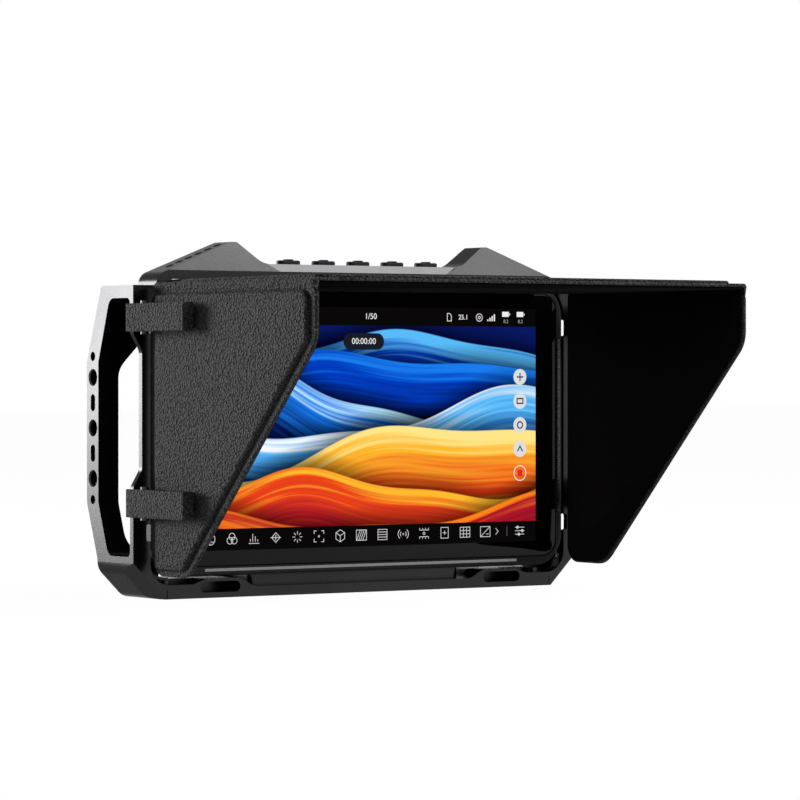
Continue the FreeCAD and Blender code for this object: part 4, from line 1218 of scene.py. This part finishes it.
def circle(x, z, radius, start=0.0, turn=1.0):
    """Points of a circle, or of an arc that starts and runs by these shares of a turn."""
    steps = CIRCLE_STEPS if turn == 1 else CIRCLE_STEPS // 2 + 1
    share = turn / CIRCLE_STEPS if turn == 1 else turn / (CIRCLE_STEPS // 2)
    angles = [2 * math.pi * (start + share * k) for k in range(steps)]
    return [(x + radius * math.cos(angle), z + radius * math.sin(angle)) for angle in angles]


def frame_box(x, z, wide, tall):
    """Corners of a box round a middle, with half its width and height."""
    return [(x - wide, z - tall), (x + wide, z - tall), (x + wide, z + tall), (x - wide, z + tall)]


print("a circle has", CIRCLE_STEPS, "steps")

# %% Icons in a unit square: open lines and closed outlines
UNIT_FRAME = frame_box(0, 0, 1.0, 0.85)
ICONS = [
    ([[(0, -0.95), (0, 0.95)], [(0, 0.45), (0.8, 0.45)], [(0, -0.45), (0.8, -0.45)]], [circle(0, 0, 0.95)]),
    ([], [circle(0, 0.35, 0.55), circle(-0.4, -0.3, 0.55), circle(0.4, -0.3, 0.55)]),
    ([[(-1, -0.85), (1, -0.85)]]
     + [[(x, -0.55), (x, top)] for x, top in ((-0.7, -0.1), (-0.25, 0.7), (0.25, 0.3), (0.7, -0.2))], []),
    ([[(-1, 0), (1, 0)], [(0, -0.45), (0, 0.45)]], [[(-0.8, 0), (0, -0.8), (0.8, 0), (0, 0.8)]]),
    ([[(0.45 * c, 0.45 * s), (0.95 * c, 0.95 * s)] for c, s in circle(0, 0, 1.0)[::3]], []),
    ([[(sx * 0.95, sz * 0.4), (sx * 0.95, sz * 0.9), (sx * 0.45, sz * 0.9)]
      for sx in (-1, 1) for sz in (-1, 1)], [circle(0, 0, 0.12)]),
    ([[(0, -1), (0, 0)], [(0, 0), (0.85, 0.5)], [(0, 0), (-0.85, 0.5)]], [circle(0, 0, 1.0, 1 / 12)[::4]]),
    ([[(x, -0.85), (x + 0.7, 0.85)] for x in (-0.95, -0.55, -0.15, 0.25)], [UNIT_FRAME]),
    ([[(-0.9, z), (0.9, z)] for z in (-0.42, 0.0, 0.42)], [frame_box(0, 0, 0.9, 0.85)]),
    ([circle(0.15 * sign, 0, radius, 0.35 if sign < 0 else -0.15, 0.3) for sign in (-1, 1)
      for radius in (0.45, 0.9)], [circle(0, 0, 0.1)]),
    ([[(x, sign * 0.55), (x, sign * 0.9)] for x in (-0.9, -0.3, 0.3, 0.9) for sign in (-1, 1)]
     + [[(-0.9, sign * 0.55), (0.9, sign * 0.55)] for sign in (-1, 1)], [circle(0, 0, 0.2)]),
    ([[(-0.35, 0), (0.35, 0)], [(0, -0.35), (0, 0.35)]], [frame_box(0, 0, 0.75, 0.9)]),
    ([[(-1, 0.28), (1, 0.28)], [(-1, -0.28), (1, -0.28)], [(-0.33, -0.85), (-0.33, 0.85)],
      [(0.33, -0.85), (0.33, 0.85)]], [UNIT_FRAME]),
    ([[(-1, -0.85), (1, 0.85)], [(0.2, -0.4), (0.7, -0.4)]], [UNIT_FRAME]),
]
MENU_FIRST = -66.0 * MM
MENU_PITCH = 9.25 * MM
MENU_HALF = 2.2 * MM
MENU_MIDDLE = PICTURE_LOW - 3.6 * MM
ARROW_X, ARROW_WIDE, ARROW_TALL = 59.6 * MM, 0.6 * MM, 1.2 * MM
DIVIDER_X, DIVIDER_HALF = 64.2 * MM, 1.8 * MM
SLIDER_X, SLIDER_HALF, SLIDER_DOT = 70.1 * MM, 2.1 * MM, 0.55 * MM
# Each slider: its height and the place of its dot.
SLIDERS = [(1.3 * MM, -1.0 * MM), (0.0, 1.2 * MM), (-1.3 * MM, -0.4 * MM)]


def add_icon(bm, icon, x, z, half, near, width=STROKE):
    lines, outlines = icon
    for closed, paths in ((False, lines), (True, outlines)):
        for path in paths:
            add_stroke(bm, [(x + a * half, z + b * half) for a, b in path], near, closed, width)


def menu_row():
    bm = bmesh.new()
    for i, icon in enumerate(ICONS):
        add_icon(bm, icon, MENU_FIRST + MENU_PITCH * i, MENU_MIDDLE, MENU_HALF, MARK_FRONT)
    back, tip = ARROW_X - ARROW_WIDE, ARROW_X + ARROW_WIDE
    high, low = MENU_MIDDLE + ARROW_TALL, MENU_MIDDLE - ARROW_TALL
    add_stroke(bm, [(back, high), (tip, MENU_MIDDLE), (back, low)], MARK_FRONT)
    for level, dot in SLIDERS:
        z = MENU_MIDDLE + level
        add_stroke(bm, [(SLIDER_X - SLIDER_HALF, z), (SLIDER_X + SLIDER_HALF, z)], MARK_FRONT)
        add_plate(bm, circle(SLIDER_X + dot, z, SLIDER_DOT), MARK_FRONT)
    return screen_piece("menu_icons", bm, lit_finish("icon_light", (1, 1, 1), 0.65))


def menu_divider():
    bm = bmesh.new()
    path = [(DIVIDER_X, MENU_MIDDLE - DIVIDER_HALF), (DIVIDER_X, MENU_MIDDLE + DIVIDER_HALF)]
    add_stroke(bm, path, MARK_FRONT, width=STROKE / 2)
    return screen_piece("menu_divider", bm, lit_finish("divider_light", (1, 1, 1), 0.2))


menu_row()
menu_divider()
print("icons in the menu:", len(ICONS))

# %% [markdown]
# ## Numbers, discs and the record ring
# Plain numbers are text turned into mesh. At the right edge stands a column of pale discs with dark signs,
# and a ring with a red square under them.

# %% Numbers
mark_light = lit_finish("number_light", (1, 1, 1), 0.85)
mark_dim = lit_finish("number_dim", (1, 1, 1), 0.3)
mark_dark = lit_finish("pill_dark", (0.01, 0.012, 0.02), 1.0)


def number(name, words, x, z, size, near, finish):
    """Flat text as a closed thin mesh, facing the viewer."""
    curve = bpy.data.curves.new(name, "FONT")
    curve.body = words
    curve.size = size
    curve.extrude = PLATE / 2
    curve.align_x = "CENTER"
    curve.align_y = "CENTER"
    holder = bpy.data.objects.new(name, curve)
    mesh = bpy.data.meshes.new_from_object(holder)
    bpy.data.objects.remove(holder)
    mesh.transform(Matrix.Translation((x, near + PLATE / 2, z)) @ Matrix.Rotation(math.pi / 2, 4, "X"))
    piece = bpy.data.objects.new(name, mesh)
    bpy.context.scene.collection.objects.link(piece)
    mesh.materials.clear()
    mesh.materials.append(finish)
    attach(piece, "monitor")
    return piece


print("finishes for the numbers:", [finish.name for finish in (mark_light, mark_dim, mark_dark)])

# %% Status row
STATUS_Z = PICTURE_HIGH + 3.3 * MM
SHUTTER_X, SHUTTER_SIZE = 2.9 * MM, 3.0 * MM
CARD_NUMBER_X, CARD_NUMBER_SIZE = 44.2 * MM, 2.6 * MM
CARD_X = 37.9 * MM
CARD = [(-0.9, -1.4), (0.9, -1.4), (0.9, 0.7), (0.2, 1.4), (-0.9, 1.4)]
TARGET_X, TARGET_HALF = 51.5 * MM, 1.4 * MM
BARS, BARS_X, BARS_PITCH, BAR_WIDE = 4, 55.4 * MM, 1.0 * MM, 0.55 * MM
BAR_LOW, BAR_TOP, BAR_RISE = -1.3 * MM, -0.7 * MM, 0.65 * MM
BATTERIES = (63.7 * MM, 70.4 * MM)
BATTERY_UP = 1.3 * MM
BATTERY_NUMBER_DOWN, BATTERY_NUMBER_SIZE = 1.4 * MM, 1.9 * MM


def battery_sign(bm, x):
    z = STATUS_Z + BATTERY_UP
    add_plate(bm, frame_box(x - 0.2 * MM, z, 1.5 * MM, 0.95 * MM), MARK_FRONT)
    add_plate(bm, frame_box(x + 1.7 * MM, z, 0.18 * MM, 0.4 * MM), MARK_FRONT)


def status_row(light, dim):
    number("status_shutter", "1/50", SHUTTER_X, STATUS_Z, SHUTTER_SIZE, MARK_FRONT, light)
    number("status_card", "25.1", CARD_NUMBER_X, STATUS_Z, CARD_NUMBER_SIZE, MARK_FRONT, light)
    bm = bmesh.new()
    add_stroke(bm, [(CARD_X + a * MM, STATUS_Z + b * MM) for a, b in CARD], MARK_FRONT, True)
    target = ([], [circle(0, 0, 1.0), circle(0, 0, 0.35)])
    add_icon(bm, target, TARGET_X, STATUS_Z, TARGET_HALF, MARK_FRONT)
    for step in range(BARS):
        x = BARS_X + BARS_PITCH * step
        path = [(x, STATUS_Z + BAR_LOW), (x, STATUS_Z + BAR_TOP + BAR_RISE * step)]
        add_stroke(bm, path, MARK_FRONT, width=BAR_WIDE)
    for x in BATTERIES:
        battery_sign(bm, x)
        number(f"cell_{round(x / MM)}", "8.2", x, STATUS_Z - BATTERY_NUMBER_DOWN, BATTERY_NUMBER_SIZE,
               MARK_FRONT, dim)
    return screen_piece("status_icons", bm, light)


status_row(mark_light, mark_dim)
print("batteries in the status row:", len(BATTERIES))

# %% Clock and disc column
CLOCK_X, CLOCK_Z = -0.2 * MM, PICTURE_HIGH - 5.8 * MM
CLOCK_SIZE = 3.1 * MM
PILL_HALF_WIDE, PILL_HALF_TALL, PILL_ROUND = 8.9 * MM, 3.0 * MM, 2.9 * MM
DISC_X = 70.2 * MM
DISC_TOP = 78.4 * MM
DISC_PITCH = 9.0 * MM
DISC_RADIUS = 3.0 * MM
DISC_SIGN_HALF = DISC_RADIUS * 0.5
DISC_STROKE, RING_STROKE = STROKE * 2.1, STROKE * 1.3
STOP_HALF = 1.1 * MM
# Signs on the discs, in a unit square: open lines and closed outlines.
DISC_SIGNS = [
    ([[(-1, 0), (1, 0)], [(0, -1), (0, 1)]], []),
    ([], [frame_box(0, 0, 0.9, 0.6)]),
    ([], [circle(0, 0, 0.8)]),
    ([[(-0.8, -0.6), (0, 0.7), (0.8, -0.6)]], []),
]


def clock(light, dark):
    bm = bmesh.new()
    box = frame_box(CLOCK_X, CLOCK_Z, PILL_HALF_WIDE, PILL_HALF_TALL)
    pill = rounded_outline([(x, z, PILL_ROUND) for x, z in box])
    add_plate(bm, [(p.x, p.y) for p in pill], MARK_FRONT)
    screen_piece("clock_pill", bm, dark)
    return number("clock_numbers", "00:00:00", CLOCK_X, CLOCK_Z, CLOCK_SIZE, TOP_FRONT, light)


def disc_column(light, dark, pale, red):
    discs, signs, ring, stop = (bmesh.new() for _ in range(4))
    for i, sign in enumerate(DISC_SIGNS):
        z = DISC_TOP - DISC_PITCH * i
        add_plate(discs, circle(DISC_X, z, DISC_RADIUS), MARK_FRONT)
        add_icon(signs, sign, DISC_X, z, DISC_SIGN_HALF, TOP_FRONT, DISC_STROKE)
    z = DISC_TOP - DISC_PITCH * len(DISC_SIGNS)
    add_stroke(ring, circle(DISC_X, z, DISC_RADIUS - STROKE), MARK_FRONT, True, RING_STROKE)
    add_plate(stop, frame_box(DISC_X, z, STOP_HALF, STOP_HALF), MARK_FRONT)
    screen_piece("disc_column", discs, pale)
    screen_piece("disc_signs", signs, dark)
    screen_piece("record_ring", ring, light)
    return screen_piece("record_square", stop, red)


clock(mark_light, mark_dark)
disc_column(mark_light, mark_dark, lit_finish("disc_pale", (0.72, 0.73, 0.75), 1.0),
            lit_finish("record_red", (0.75, 0.02, 0.02), 1.0))
print("discs:", len(DISC_SIGNS))
